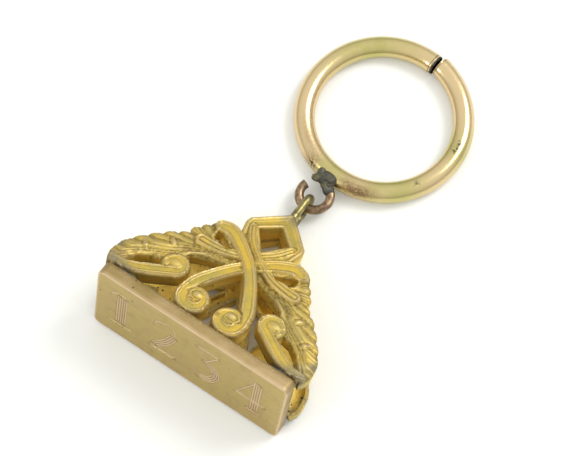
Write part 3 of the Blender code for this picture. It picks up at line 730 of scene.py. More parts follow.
def swept_wire(bm, radius, sides, start, centre, axis, angle, steps, tails=(0.0, 0.0)):
    """A round wire bent round a centre, with straight tails at its two ends."""
    spoke = (start - centre).normalized()
    along = axis.cross(spoke) * (1 if angle > 0 else -1)
    across = axis.normalized()
    turn = Matrix((spoke, across, along)).transposed().to_4x4()
    place = Matrix.Translation(start - along * tails[0]) @ turn
    bmesh.ops.create_circle(bm, cap_ends=True, segments=sides, radius=radius, matrix=place)
    face = bm.faces[:][-1]
    if tails[0] > 0:
        face = pulled(bm, face, along * tails[0], 6)
    made = bmesh.ops.spin(
        bm, geom=[face], cent=centre, axis=axis, angle=angle, steps=steps, use_merge=False
    )["geom_last"]
    face = [item for item in made if isinstance(item, bmesh.types.BMFace)][0]
    if tails[1] > 0:
        end_spoke = Matrix.Rotation(angle, 3, axis) @ along
        pulled(bm, face, end_spoke * tails[1], 6)
    return bm


def pulled(bm, face, move, steps):
    """Extrudes a face along a straight run in even steps, and returns the last face."""
    for _ in range(steps):
        made = bmesh.ops.extrude_face_region(bm, geom=[face])["geom"]
        face = [item for item in made if isinstance(item, bmesh.types.BMFace)][0]
        bmesh.ops.translate(bm, verts=face.verts, vec=move / steps)
    return face


def turned(bm, profile, sides, place):
    """A turned solid along Z: the profile is (radius, height) from one end to the other."""
    radius, height = profile[0]
    lift = Matrix.Translation((0, 0, height))
    made = bmesh.ops.create_circle(
        bm, cap_ends=True, segments=sides, radius=radius, matrix=lift
    )["verts"]
    points = list(made)
    face = made[0].link_faces[0]
    for next_radius, next_height in profile[1:]:
        grown = bmesh.ops.extrude_face_region(bm, geom=[face])["geom"]
        face = [item for item in grown if isinstance(item, bmesh.types.BMFace)][0]
        bmesh.ops.scale(bm, verts=face.verts, vec=(next_radius / radius,) * 2 + (1,))
        bmesh.ops.translate(bm, verts=face.verts, vec=(0, 0, next_height - height))
        points += list(face.verts)
        radius, height = next_radius, next_height
    bmesh.ops.transform(bm, matrix=place, verts=points)


# Materials.


class Shader:
    """A metal's node tree, built up node by node."""

    def __init__(self, name, metallic=1.0):
        self.material = bpy.data.materials.new(name)
        self.material.use_nodes = True
        self.tree = self.material.node_tree
        self.surface = self.tree.nodes["Principled BSDF"]
        self.surface.inputs["Metallic"].default_value = metallic
        self.place = self.add("ShaderNodeTexCoord").outputs["Object"]

    def add(self, kind, **settings):
        node = self.tree.nodes.new(kind)
        for key, value in settings.items():
            setattr(node, key, value)
        return node

    def join(self, value, socket):
        if isinstance(value, bpy.types.NodeSocket):
            self.tree.links.new(value, socket)
        elif isinstance(value, tuple) or hasattr(value, "__len__"):
            socket.default_value = (*value[:3], 1.0)
        else:
            socket.default_value = value

    def attribute(self, name):
        return self.add("ShaderNodeAttribute", attribute_name=name).outputs["Fac"]

    def noise(self, size, detail=4.0, rough=0.55, stretch=None, place=None):
        """Noise whose features are about size metres across."""
        node = self.add("ShaderNodeTexNoise")
        node.inputs["Scale"].default_value = 1 / size
        node.inputs["Detail"].default_value = detail
        node.inputs["Roughness"].default_value = rough
        place = place or self.place
        if stretch:
            mapping = self.add("ShaderNodeMapping")
            mapping.inputs["Scale"].default_value = stretch
            self.join(place, mapping.inputs["Vector"])
            place = mapping.outputs["Vector"]
        self.join(place, node.inputs["Vector"])
        return node.outputs["Fac"]

    def span(self, value, low, high, start=0.0, end=1.0):
        """The value, stretched from low..high to start..end and clamped."""
        node = self.add("ShaderNodeMapRange")
        self.join(value, node.inputs["Value"])
        for name, number in zip(("From Min", "From Max", "To Min", "To Max"), (low, high, start, end)):
            node.inputs[name].default_value = number
        return node.outputs["Result"]

    def maths(self, operation, first, second=0.0):
        node = self.add("ShaderNodeMath", operation=operation, use_clamp=True)
        self.join(first, node.inputs[0])
        self.join(second, node.inputs[1])
        return node.outputs["Value"]

    def mix(self, amount, first, second):
        node = self.add("ShaderNodeMix", data_type="RGBA")
        self.join(amount, node.inputs[0])
        self.join(first, node.inputs[6])
        self.join(second, node.inputs[7])
        return node.outputs[2]

    def bump(self, height, strength, distance):
        node = self.add("ShaderNodeBump")
        node.inputs["Strength"].default_value = strength
        node.inputs["Distance"].default_value = distance
        self.join(height, node.inputs["Height"])
        if self.surface.inputs["Normal"].links:
            self.join(self.surface.inputs["Normal"].links[0].from_socket, node.inputs["Normal"])
        self.join(node.outputs["Normal"], self.surface.inputs["Normal"])

    def finish(self, colour_value, roughness):
        self.join(colour_value, self.surface.inputs["Base Color"])
        self.join(roughness, self.surface.inputs["Roughness"])
        return self.material


def gilt_material(colours):
    """Matt gilding: worn rosy rims, green channels, painted shade in the creases, deep orange walls
    painted brighter as painted light, and black specks.
    """
    shader = Shader("gilt_shell")
    crest = shader.attribute("crest")
    hollow = shader.attribute("hollow")
    wall = shader.attribute("wall")
    stain = shader.attribute("stain")
    patches = shader.noise(2.6 * MM, detail=5.0)
    grain = shader.noise(0.35 * MM, detail=4.0)
    fine = shader.noise(0.14 * MM, detail=3.0)
    tint = shader.mix(shader.span(patches, 0.42, 0.62), colours.gilt, colours.gilt_dull)
    tint = shader.mix(shader.maths("MULTIPLY", hollow, shader.span(grain, 0.35, 0.6, 0.35, 0.95)),
                      tint, colours.gilt_dull)
    worn = shader.maths("MULTIPLY", crest, shader.span(grain, 0.36, 0.58, 0.25, 1.0))
    tint = shader.mix(worn, tint, colours.gilt_worn)
    # Painted shade: the deepest hollows, creases and grooves beside the raised lines are darkened.
    crease_shade = shader.maths("MULTIPLY", shader.span(hollow, 0.6, 0.95),
                         shader.span(grain, 0.38, 0.6, 0.25, 0.9))
    tint = shader.mix(crease_shade, tint, colours.shade_and_grime)
    # Painted light: the walls and hollow back are painted a brighter, deeper gold.
    tint = shader.mix(shader.maths("MULTIPLY", wall, 0.9), tint, colours.wall_painted_light)
    grey = shader.maths("MULTIPLY", stain, shader.span(grain, 0.34, 0.6, 0.5, 0.95))
    tint = shader.mix(grey, tint, colours.stain)
    specks = shader.add("ShaderNodeTexVoronoi")
    specks.inputs["Scale"].default_value = 1 / (0.75 * MM)
    shader.join(shader.place, specks.inputs["Vector"])
    dots = shader.span(specks.outputs["Distance"], 0.13, 0.22, 1.0, 0.0)
    dots = shader.maths("MULTIPLY", dots, shader.span(patches, 0.5, 0.56))
    dots = shader.maths("MULTIPLY", dots, shader.span(wall, 0.4, 1.0, 0.35, 1.0))
    tint = shader.mix(dots, tint, colours.dirt)
    grime = shader.maths("MULTIPLY", shader.span(fine, 0.6, 0.7, 0.0, 0.6),
                         shader.span(patches, 0.45, 0.6, 0.2, 1.0))
    tint = shader.mix(grime, tint, colours.shade_and_grime)
    rough = shader.span(worn, 0.0, 1.0, 0.62, 0.45)
    shader.bump(grain, 0.5, 0.045 * MM)
    shader.bump(fine, 0.6, 0.03 * MM)
    return shader.finish(tint, rough)


def plate_material(colours):
    """Rolled gold, brushed along the plate and worn rosy at its edges and in the cuts."""
    shader = Shader("plate_gold")
    edge = shader.attribute("edge")
    cut = shader.attribute("cut")
    side = shader.attribute("side")
    patches = shader.noise(5.0 * MM, detail=4.0)
    brush = shader.noise(0.3 * MM, detail=5.0, stretch=(0.12, 1.0, 1.0))
    grain = shader.noise(0.25 * MM, detail=4.0)
    tint = shader.mix(shader.span(patches, 0.4, 0.65), colours.plate, colours.plate_rosy)
    mottle = shader.noise(1.1 * MM, detail=6.0, rough=0.65)
    tint = shader.mix(shader.span(mottle, 0.5, 0.72, 0.0, 0.5), tint, colours.plate_side)
    tint = shader.mix(shader.span(brush, 0.55, 0.72, 0.0, 0.3), tint, colours.plate_side)
    tint = shader.mix(edge, tint, colours.cut)
    faint = shader.span(grain, 0.36, 0.56, 0.5, 1.0)
    dark = shader.maths("MULTIPLY", shader.span(cut, 0.05, 0.3), faint)
    tint = shader.mix(dark, tint, colours.plate_side)
    tint = shader.mix(shader.span(cut, 0.4, 0.75), tint, colours.cut)
    grimy = shader.maths("MULTIPLY", shader.attribute("grime"), shader.span(grain, 0.35, 0.6, 0.3, 1.0))
    stained = shader.maths("MULTIPLY", side, shader.span(patches, 0.35, 0.6, 0.6, 1.0))
    tint = shader.mix(stained, tint, colours.plate_side)
    tint = shader.mix(grimy, tint, colours.shade_and_grime)
    pits = shader.add("ShaderNodeTexVoronoi")
    pits.inputs["Scale"].default_value = 1 / (1.3 * MM)
    shader.join(shader.place, pits.inputs["Vector"])
    dots = shader.span(pits.outputs["Distance"], 0.06, 0.11, 1.0, 0.0)
    dots = shader.maths("MULTIPLY", dots, shader.span(patches, 0.52, 0.6))
    tint = shader.mix(dots, tint, colours.dirt)
    rough = shader.maths("ADD", shader.span(brush, 0.3, 0.7, 0.34, 0.46),
                         shader.maths("MULTIPLY", side, 0.2))
    shader.bump(brush, 0.25, 0.012 * MM)
    shader.bump(grain, 0.2, 0.01 * MM)
    return shader.finish(tint, rough)


def ring_material(colours):
    """Polished rolled gold with greenish patches, tarnish near the lug and fine scratches."""
    shader = Shader("ring_gold")
    tarnish = shader.attribute("tarnish")
    green = shader.attribute("green")
    patches = shader.noise(2.5 * MM, detail=4.0)
    grain = shader.noise(0.3 * MM, detail=5.0)
    film = shader.maths("MULTIPLY", green, shader.span(patches, 0.3, 0.6, 0.5, 1.0))
    tint = shader.mix(film, colours.ring, colours.ring_green)
    rusty = shader.maths("MULTIPLY", tarnish, shader.span(grain, 0.34, 0.56, 0.3, 1.0))
    tint = shader.mix(rusty, tint, colours.rust)
    scratch = shader.noise(0.22 * MM, detail=4.0, stretch=(1.0, 1.0, 0.3))
    rough = shader.maths(
        "ADD", shader.span(scratch, 0.35, 0.7, 0.17, 0.27), shader.maths("MULTIPLY", rusty, 0.25)
    )
    marks = shader.attribute("marks")
    tint = shader.mix(shader.maths("MULTIPLY", marks, shader.span(grain, 0.45, 0.55)),
                      tint, colours.dirt)
    shader.bump(scratch, 0.12, 0.01 * MM)
    return shader.finish(tint, rough)


def wire_material(name, base, dark, colours, rough_low, rough_high):
    """Worn wire: mottled between two colours, with dark pits."""
    shader = Shader(name)
    patches = shader.noise(0.9 * MM, detail=4.0)
    grain = shader.noise(0.16 * MM, detail=4.0)
    tint = shader.mix(shader.span(patches, 0.4, 0.62), base, dark)
    tint = shader.mix(shader.span(grain, 0.6, 0.72, 0.0, 0.85), tint, colours.dirt)
    shader.bump(grain, 0.5, 0.03 * MM)
    return shader.finish(tint, shader.span(patches, 0.35, 0.65, rough_low, rough_high))


# Operators.


class FobSealOperator:
    """What the seal's operators share."""

    bl_options = {"REGISTER", "UNDO"}


class OBJECT_OT_fob_seal_shells(FobSealOperator, bpy.types.Operator):
    """Make the two openwork shells of leaves, scrolls and crossing straps"""

    bl_idname = "object.fob_seal_shells"
    bl_label = "Openwork shells"

    def execute(self, context):
        sizes = context.scene.fob_seal_sizes
        material = gilt_material(context.scene.fob_seal_colours)
        front = shell_bmesh(sizes)
        back = front.copy()
        for bm, name, turn in (
            (front, "front", Matrix.Identity(4)),
            (back, "back", Matrix.Rotation(math.pi, 4, "Z")),
        ):
            bmesh.ops.transform(bm, matrix=SEAL @ turn, verts=bm.verts)
            finish_object(
                bm, f"{name}_shell_sheet", material, "seal", [f"{name}_shell"]
            )
        return {"FINISHED"}


PLATE_SPACING = 0.07
PLATE_EDGE_ROWS = [(0.02, 0.008), (0.04, 0.024), (0.06, 0.05), (0.07, 0.09)]


def engraving_depth(points):
    """How deep the numerals are cut at points of the face, from 0 to 1."""
    depth = np.zeros(len(points))
    for middle, strokes in ENGRAVING:
        for line, cuts in strokes:
            route = np.array(line, float) * NUMERAL_SCALE + (middle, 0)
            if len(route) > 2:
                route = smooth_route(route, 16)
            distance, _, side = route_field(points, route)
            across = distance * side
            for cut in range(cuts):
                offset = (cut - (cuts - 1) / 2) * CUT_SPACING
                at_end = np.minimum(
                    np.hypot(*(points - route[0]).T), np.hypot(*(points - route[-1]).T)
                )
                inside = (abs(across - offset) < 0.4) & ((at_end > abs(offset)) | (cuts == 1))
                depth = np.maximum(depth, bump(across, offset, CUT_HALF_WIDTH) * inside)
    return depth


class OBJECT_OT_fob_seal_plate(FobSealOperator, bpy.types.Operator):
    """Make the stamp plate with its engraved face"""

    bl_idname = "object.fob_seal_plate"
    bl_label = "Stamp plate"

    def execute(self, context):
        sizes = context.scene.fob_seal_sizes
        half = np.array([sizes.plate_length, sizes.plate_width]) / 2 / MM
        thickness = sizes.plate_thickness / MM
        corner = 0.8
        bevel = PLATE_EDGE_ROWS[-1][0]

        def distance(points):
            beyond = abs(points) - (half - corner)
            outside = np.hypot(*np.maximum(beyond, 0).T)
            return outside + np.minimum(beyond.max(1), 0) - corner + bevel

        raster = Raster(-half - 0.3, half + 0.3, PLATE_SPACING)
        raster.fill(distance(raster.points))
        bm = trimmed_grid(raster)
        source = bm.verts.layers.int.new("source")
        for index, vert in enumerate(bm.verts):
            vert[source] = index
        places = np.array([vert.co[:2] for vert in bm.verts])
        cut = engraving_depth(places)
        edge = bump(raster.at(places), 0, 0.14)
        outward = raster.outward(places)
        border = [e for e in bm.edges if e.is_boundary]
        for vert in bm.verts:
            sway = 0.02 * noise.noise(Vector((vert.co.x, vert.co.y, 0)) / 3.5)
            vert.co.z = -CUT_DEPTH * cut[vert[source]] + sway
        side = bm.verts.layers.float.new("side")
        grime = bm.verts.layers.float.new("grime")
        rows = list(PLATE_EDGE_ROWS)
        rows += [(bevel, thickness * share) for share in (0.3, 0.6, 0.8, 0.93)]
        rows.append((bevel - 0.1, thickness))
        edges = border
        for offset, drop in rows:
            grown = bmesh.ops.extrude_edge_only(bm, edges=edges)["geom"]
            for item in grown:
                if isinstance(item, bmesh.types.BMVert):
                    index = item[source]
                    dent = 0.03 * noise.noise(Vector((*places[index], drop)) / 1.7)
                    point = places[index] + outward[index] * (offset + dent)
                    item.co = (*point, -drop)
                    item[side] = min(1.0, drop / 0.16)
                    item[grime] = max(0.0, drop / thickness - 0.5) * 1.8
            edges = [
                item for item in grown
                if isinstance(item, bmesh.types.BMEdge) and item.is_boundary
            ]
        bmesh.ops.holes_fill(bm, edges=edges, sides=0)
        set_layer(bm, "edge", edge, source)
        set_layer(bm, "cut", cut, source)
        bmesh.ops.recalc_face_normals(bm, faces=bm.faces)
        # The face looks down the seal's Z, and its upper edge is the seal's front.
        facing = Matrix(((1, 0, 0), (0, -1, 0), (0, 0, -1))).to_4x4()
        bmesh.ops.transform(
            bm, matrix=SEAL @ facing @ Matrix.Scale(MM, 4), verts=bm.verts
        )
        finish_object(
            bm, "engraved_plate", plate_material(context.scene.fob_seal_colours),
            "seal", ["stamp_plate"],
        )
        return {"FINISHED"}


class OBJECT_OT_fob_seal_eye(FobSealOperator, bpy.types.Operator):
    """Make the eye of bent wire and the solder at its foot"""

    bl_idname = "object.fob_seal_eye"
    bl_label = "Eye and its solder"

    def execute(self, context):
        sizes = context.scene.fob_seal_sizes
        colours = context.scene.fob_seal_colours
        middle = SEAL.inverted() @ HINGE
        bend = sizes.eye_wire + sizes.link_wire + 0.12 * MM
        low, high = (Vector(corner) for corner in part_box("eye_solder"))
        foot = SEAL.inverted() @ ((low + high) / 2)
        leg = middle.z - foot.z
        bm = bmesh.new()
        start = middle + Vector((0, -bend, 0))
        swept_wire(
            bm, sizes.eye_wire, 24, start, middle, Vector((1, 0, 0)), -math.pi, 28,
            tails=(leg, leg),
        )
        roughen(bm, 0.05 * MM, 0.6 * MM, 3.0)
        bmesh.ops.recalc_face_normals(bm, faces=bm.faces)
        bmesh.ops.transform(bm, matrix=SEAL, verts=bm.verts)
        material = wire_material("eye_brass", colours.brass, colours.brass_dark, colours, 0.3, 0.45)
        finish_object(bm, "eye_wire", material, "seal", ["eye_loop"])

        bm = bmesh.new()
        bmesh.ops.create_icosphere(bm, subdivisions=6, radius=1.0)
        size = Matrix.Diagonal((0.85 * MM, bend + sizes.eye_wire * 1.2, 0.75 * MM, 1))
        place = Matrix.Translation(foot + Vector((0, 0, -0.1 * MM)))
        bmesh.ops.transform(bm, matrix=place @ size, verts=bm.verts)
        roughen(bm, 0.16 * MM, 0.7 * MM, 9.0)
        bmesh.ops.transform(bm, matrix=SEAL, verts=bm.verts)
        finish_object(
            bm, "eye_solder_mound", solder_material(colours), "seal", ["eye_solder"]
        )
        return {"FINISHED"}


def collar_material(colours):
    """Black tarnish and painted shade of the cut, with a bright brass lip."""
    shader = Shader("end_brass")
    lip = shader.attribute("lip")
    grain = shader.noise(0.2 * MM, detail=4.0)
    patches = shader.noise(0.7 * MM, detail=3.0)
    # The black stands for the cut's tarnish and also for its shade: painted shade.
    tint = shader.mix(shader.span(patches, 0.45, 0.65), colours.dirt, colours.solder)
    worn = shader.maths("MULTIPLY", lip, shader.span(grain, 0.36, 0.48, 0.5, 1.0))
    tint = shader.mix(worn, tint, colours.ring)
    shader.bump(grain, 0.4, 0.02 * MM)
    return shader.finish(tint, shader.span(worn, 0.0, 1.0, 0.5, 0.3))


def solder_material(colours):
    shader = Shader("solder")
    patches = shader.noise(0.8 * MM, detail=4.0)
    grain = shader.noise(0.15 * MM, detail=4.0)
    brassy = shader.maths("ADD", shader.span(patches, 0.54, 0.68),
                          shader.attribute("brassy"))
    tint = shader.mix(brassy, colours.solder, colours.brass_dark)
    tint = shader.mix(shader.span(grain, 0.58, 0.7, 0.0, 0.8), tint, colours.dirt)
    shader.bump(grain, 0.5, 0.03 * MM)
    return shader.finish(tint, shader.span(patches, 0.35, 0.65, 0.5, 0.66))


class OBJECT_OT_fob_seal_fillets(FobSealOperator, bpy.types.Operator):
    """Make the solder that holds the leaf ends on the plate"""

    bl_idname = "object.fob_seal_fillets"
    bl_label = "Leaf solder"

    def execute(self, context):
        material = solder_material(context.scene.fob_seal_colours)
        for face in ("front", "back"):
            for side in ("left", "right"):
                node = f"solder_{face}_{side}"
                low, high = (Vector(corner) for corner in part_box(node))
                bm = bmesh.new()
                bmesh.ops.create_icosphere(bm, subdivisions=5, radius=1.0)
                half = (high - low) / 2
                size = Matrix.Diagonal((half.x * 1.05, half.y * 1.3, half.z * 1.1, 1))
                place = Matrix.Translation((low + high) / 2)
                bmesh.ops.transform(bm, matrix=place @ size, verts=bm.verts)
                roughen(bm, 0.14 * MM, 0.8 * MM, low.x / MM)
                finish_object(bm, f"leaf_{node}", material, "seal", [node])
        return {"FINISHED"}


# The lug hugs the tube.  Balls of solder stand on it: place in millimetres, radius, brassiness.
LUG_SHIFT = Vector((-0.25, 0.7, 0.35)) * MM
LUG_BALLS = [((-1.0, -0.65, 0.3), 0.56, 0.8), ((0.4, -1.0, 0.3), 0.5, 0.6),
             ((1.0, -1.1, -0.1), 0.74, 0.0), ((-0.75, 0.3, 0.5), 0.5, 0.2)]


def ball_reach(direction, centre, radius):
    """How far a ball reaches along a direction from the origin, or 0 where it is missed."""
    along = direction.dot(centre)
    inside = radius**2 - centre.length_squared + along**2
    return along + math.sqrt(inside) if inside > 0 else 0.0


class OBJECT_OT_fob_seal_link(FobSealOperator, bpy.types.Operator):
    """Make the open copper link and the solder lug on the split ring"""

    bl_idname = "object.fob_seal_link"
    bl_label = "Link and lug"

    def execute(self, context):
        sizes = context.scene.fob_seal_sizes
        colours = context.scene.fob_seal_colours
        shift = 0.18 * MM
        centre = HINGE + Vector((shift, math.sqrt(sizes.link_radius**2 - shift**2), 0))
        first, last = math.radians(158), math.radians(412)
        start = centre + Vector((math.cos(first), math.sin(first), 0)) * sizes.link_radius
        bm = bmesh.new()
        swept_wire(
            bm, sizes.link_wire, 28, start, centre, Vector((0, 0, 1)), last - first, 64
        )
        roughen(bm, 0.05 * MM, 0.8 * MM, 5.0)
        roughen(bm, 0.025 * MM, 0.25 * MM, 8.0)
        bmesh.ops.recalc_face_normals(bm, faces=bm.faces)
        material = wire_material(
            "link_copper", colours.copper, colours.copper_dark, colours, 0.36, 0.55
        )
        finish_object(bm, "copper_link", material, "ring", ["link_ring"])

        low, high = (Vector(corner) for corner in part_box("lug_solder"))
        bm = bmesh.new()
        bmesh.ops.create_icosphere(bm, subdivisions=6, radius=1.0)
        half = (high - low) / 2
        size = Matrix.Diagonal((half.x * 0.85, half.y * 0.98, half.z * 0.98, 1))
        brassy = bm.verts.layers.float.new("brassy")
        for vert in bm.verts:
            vert.co = size @ vert.co
            spoke = vert.co.normalized()
            reach = vert.co.length
            for place, radius, brass in LUG_BALLS:
                ball = ball_reach(spoke, Vector(place) * MM, radius * MM)
                if ball > reach:
                    reach = ball
                    vert[brassy] = brass
            vert.co = spoke * reach
        bmesh.ops.smooth_vert(bm, verts=bm.verts, factor=0.5, use_axis_x=True, use_axis_y=True,
                              use_axis_z=True)
        middle = (low + high) / 2 + LUG_SHIFT
        bmesh.ops.translate(bm, verts=bm.verts, vec=middle)
        roughen(bm, 0.14 * MM, 0.8 * MM, 2.0)
        roughen(bm, 0.08 * MM, 0.35 * MM, 7.0)
        finish_object(bm, "lug_blob", solder_material(colours), "ring", ["lug_solder"])
        return {"FINISHED"}


# The ring's right end has sprung out; its ends have lips, and dark marks stand on top.
RING_SPRING = 0.24
RING_SPRING_SWEEP = math.radians(42)
RING_LIP = 0.035
RING_MARKS = [(-34, 0.45, 0), (5, 0.6, 0), (11, 0.45, 0), (-111, 0.65, 62)]
RING_GREEN = [(-50, 24), (-98, 13), (132, 36), (8, 14)]
RING_TARNISH = [(-77, 8, 42, 1.1), (-68, 6, 30, 0.5), (-84, 5, 15, 0.5), (-112, 6, 50, 1.0),
                (-128, 16, -20, 0.55)]
TARNISH_SPREAD = 38


class OBJECT_OT_fob_seal_ring(FobSealOperator, bpy.types.Operator):
    """Make the hollow split ring and the collars at its cut"""

    bl_idname = "object.fob_seal_ring"
    bl_label = "Split ring"

    def execute(self, context):
        sizes = context.scene.fob_seal_sizes
        colours = context.scene.fob_seal_colours
        low, high = (Vector(corner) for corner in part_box("ring_tube"))
        centre = (low + high) / 2
        gap = math.radians(80.5)
        start_turn = gap + 0.68 * MM / sizes.ring_radius
        end_turn = gap + 2 * math.pi - 0.42 * MM / sizes.ring_radius
        start = centre + Vector((math.cos(start_turn), math.sin(start_turn), 0)) * sizes.ring_radius
        bm = bmesh.new()
        swept_wire(
            bm, sizes.tube_radius, 48, start, centre, Vector((0, 0, 1)),
            end_turn - start_turn, 260,
        )
        bmesh.ops.recalc_face_normals(bm, faces=bm.faces)
        tarnish = bm.verts.layers.float.new("tarnish")
        marks = bm.verts.layers.float.new("marks")
        green = bm.verts.layers.float.new("green")
        sweep = end_turn - start_turn
        for vert in bm.verts:
            spoke = vert.co - centre
            turn = (math.atan2(spoke.y, spoke.x) - start_turn + 0.01) % (2 * math.pi) - 0.01
            out = Vector((spoke.x, spoke.y, 0)).normalized()
            core = centre + out * sizes.ring_radius
            to_end = min(turn, sweep - turn) * sizes.ring_radius / MM
            vert.co = core + (vert.co - core) * (1 + RING_LIP * math.exp(-(((to_end - 0.14) / 0.1) ** 2)))
            spring = max(0.0, (turn - sweep) / RING_SPRING_SWEEP + 1)
            vert.co += out * RING_SPRING * MM * spring**1.5
            lean = math.degrees(math.atan2((vert.co - core).dot(out), (vert.co - core).z))
            bearing = math.degrees(turn + start_turn)
            for place, reach in RING_GREEN:
                apart = abs((bearing - place + 180) % 360 - 180)
                vert[green] += math.exp(-((apart / reach) ** 2))
            for place, reach, tilt, depth in RING_TARNISH:
                apart = abs((bearing - place + 180) % 360 - 180)
                aside = (lean - tilt) / TARNISH_SPREAD
                vert[tarnish] += depth * math.exp(-((apart / reach) ** 2) - aside**2)
            for place, reach, tilt in RING_MARKS:
                tilt = math.radians(tilt)
                mark = centre + Matrix.Rotation(math.radians(place), 3, "Z") @ Vector((
                    sizes.ring_radius + sizes.tube_radius * math.sin(tilt), 0,
                    sizes.tube_radius * math.cos(tilt),
                ))
                vert[marks] = max(vert[marks], 1.2 - (vert.co - mark).length / (reach * MM))
        finish_object(
            bm, "split_ring", ring_material(colours), "ring", ["ring_tube"]
        )

        material = collar_material(colours)
        radius = sizes.tube_radius / MM
        for side, turn, length, towards in (
            ("left", start_turn, 0.5, 1), ("right", end_turn, 0.25, -1)
        ):
            out = Vector((math.cos(turn), math.sin(turn), 0))
            into = Vector((-out.y, out.x, 0)) * towards
            spring = RING_SPRING * MM if side == "right" else 0.0
            place = Matrix.Translation(centre + out * (sizes.ring_radius + spring))
            turn_to = Matrix((out, into.cross(out), into)).transposed().to_4x4()
            profile = [
                (radius - 0.5, -length + 0.04), (radius - 0.3, -length - 0.02),
                (radius - 0.12, -length - 0.03), (radius - 0.05, -length + 0.04),
                (radius - 0.07, -0.62 * length), (radius - 0.17, -0.55 * length),
                (radius - 0.15, -0.42 * length), (radius - 0.02, -0.34 * length),
                (radius - 0.03, -0.12 * length), (radius - 0.16, -0.03),
                (radius - 0.32, 0.02), (radius - 0.45, 0.3),
            ]
            bm = bmesh.new()
            turned(bm, [(r * MM, z * MM) for r, z in profile], 56, Matrix.Identity(4))
            lip = bm.verts.layers.float.new("lip")
            for vert in bm.verts:
                level = vert.co.z / (length * MM)
                if side == "left":
                    vert[lip] = 1.0 if -0.45 < level < -0.1 else 0.0
                else:
                    vert[lip] = 1.0 if level < -0.3 else 0.0
            bmesh.ops.transform(bm, matrix=place @ turn_to, verts=bm.verts)
            bmesh.ops.recalc_face_normals(bm, faces=bm.faces)
            finish_object(
                bm, f"ring_collar_{side}", material, "ring", [f"ring_end_{side}"]
            )
        return {"FINISHED"}


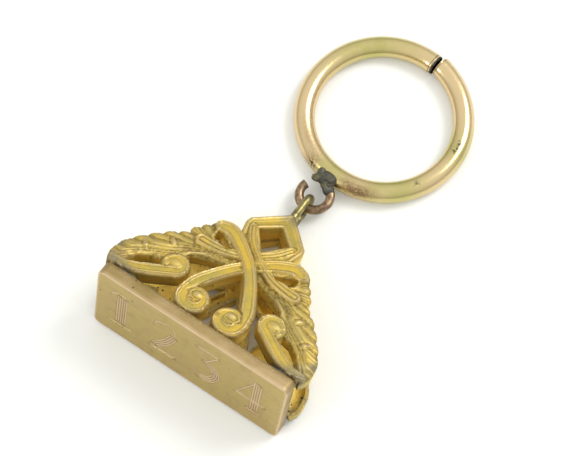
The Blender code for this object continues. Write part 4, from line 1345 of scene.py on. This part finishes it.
class OBJECT_OT_fob_seal_stage(FobSealOperator, bpy.types.Operator):
    """Make the table, the soft lights and the camera"""

    bl_idname = "object.fob_seal_stage"
    bl_label = "Table, lights and camera"

    def execute(self, context):
        colours = context.scene.fob_seal_colours
        bm = bmesh.new()
        bmesh.ops.create_grid(bm, x_segments=8, y_segments=8, size=1.0)
        mesh = bpy.data.meshes.new("table")
        bm.to_mesh(mesh)
        bm.free()
        shader = Shader("table", metallic=0.0)
        soft = shader.noise(6.0 * MM, detail=3.0)
        pale = tuple(value * 0.97 for value in colours.table)
        # The table glows a little, as a light table does, which lifts the shadows.
        shader.surface.inputs["Emission Color"].default_value = (1.0, 1.0, 0.985, 1.0)
        shader.surface.inputs["Emission Strength"].default_value = 0.05
        mesh.materials.append(shader.finish(shader.mix(soft, colours.table, pale), 0.75))
        table = bpy.data.objects.new("table", mesh)
        context.scene.collection.objects.link(table)

        context.scene.view_settings.view_transform = "Standard"
        world = bpy.data.worlds.new("studio")
        world.use_nodes = True
        nodes, links = world.node_tree.nodes, world.node_tree.links
        direction = nodes.new("ShaderNodeTexCoord").outputs["Generated"]
        height = nodes.new("ShaderNodeSeparateXYZ")
        links.new(direction, height.inputs[0])
        ramp = nodes.new("ShaderNodeValToRGB")
        links.new(height.outputs["Z"], ramp.inputs["Fac"])
        steps = ((0.0, 0.56), (0.3, 0.70), (0.6, 0.92), (1.0, 1.0))
        for index, (place, level) in enumerate(steps):
            stop = ramp.color_ramp.elements[index] if index < 2 else ramp.color_ramp.elements.new(place)
            stop.position = place
            stop.color = (level, level, level * 0.985, 1.0)
        links.new(ramp.outputs["Color"], nodes["Background"].inputs["Color"])
        nodes["Background"].inputs["Strength"].default_value = 1.08
        context.scene.world = world

        target = Vector((0, 0, 4 * MM))
        for name, place, size, power in (
            ("key", (0.165, 0.29, 0.38), 0.22, 1.15),
            ("front", (-0.176, -0.342, 0.232), 0.12, 0.3),
        ):
            light = bpy.data.lights.new(name, "AREA")
            light.energy = power
            light.size = size
            lamp = bpy.data.objects.new(name, light)
            lamp.location = place
            lamp.rotation_euler = (target - Vector(place)).to_track_quat("-Z", "Y").to_euler()
            context.scene.collection.objects.link(lamp)

        level = Vector((math.cos(VIEW_AZIMUTH), math.sin(VIEW_AZIMUTH), 0))
        ahead = Vector((-level.y, level.x, 0))
        down = Vector((0, 0, -1))
        sight = ahead * math.cos(VIEW_ELEVATION) + down * math.sin(VIEW_ELEVATION)
        rise = ahead * math.sin(VIEW_ELEVATION) - down * math.cos(VIEW_ELEVATION)
        right = level * math.cos(VIEW_ROLL) + rise * math.sin(VIEW_ROLL)
        up = rise * math.cos(VIEW_ROLL) - level * math.sin(VIEW_ROLL)
        data = bpy.data.cameras.new("camera")
        data.lens = VIEW_LENS
        data.sensor_fit = "HORIZONTAL"
        data.clip_start = 0.01
        camera = bpy.data.objects.new("camera", data)
        turn = Matrix((right, up, -sight)).transposed().to_4x4()
        camera.matrix_world = Matrix.Translation(VIEW_TARGET - sight * VIEW_DISTANCE) @ turn
        context.scene.collection.objects.link(camera)
        context.scene.camera = camera
        return {"FINISHED"}


OPERATORS = (
    OBJECT_OT_fob_seal_stage,
    OBJECT_OT_fob_seal_plate,
    OBJECT_OT_fob_seal_shells,
    OBJECT_OT_fob_seal_fillets,
    OBJECT_OT_fob_seal_eye,
    OBJECT_OT_fob_seal_link,
    OBJECT_OT_fob_seal_ring,
)


class VIEW3D_PT_fob_seal(bpy.types.Panel):
    """Sizes, colours and steps of the seal"""

    bl_idname = "VIEW3D_PT_fob_seal"
    bl_label = "Fob seal"
    bl_space_type = "VIEW_3D"
    bl_region_type = "UI"
    bl_category = "Fob seal"

    def draw(self, context):
        for group in (context.scene.fob_seal_sizes, context.scene.fob_seal_colours):
            for name in group.__annotations__:
                self.layout.prop(group, name)
        for operator in OPERATORS:
            self.layout.operator(operator.bl_idname)


CLASSES = (FobSealSizes, FobSealColours, *OPERATORS, VIEW3D_PT_fob_seal)


def register():
    for item in CLASSES:
        bpy.utils.register_class(item)
    bpy.types.Scene.fob_seal_sizes = PointerProperty(type=FobSealSizes)
    bpy.types.Scene.fob_seal_colours = PointerProperty(type=FobSealColours)


def unregister():
    del bpy.types.Scene.fob_seal_colours
    del bpy.types.Scene.fob_seal_sizes
    for item in reversed(CLASSES):
        bpy.utils.unregister_class(item)


def main():
    register()
    for operator in OPERATORS:
        group, name = operator.bl_idname.split(".")
        getattr(getattr(bpy.ops, group), name)()


if __name__ == "__main__":
    main()
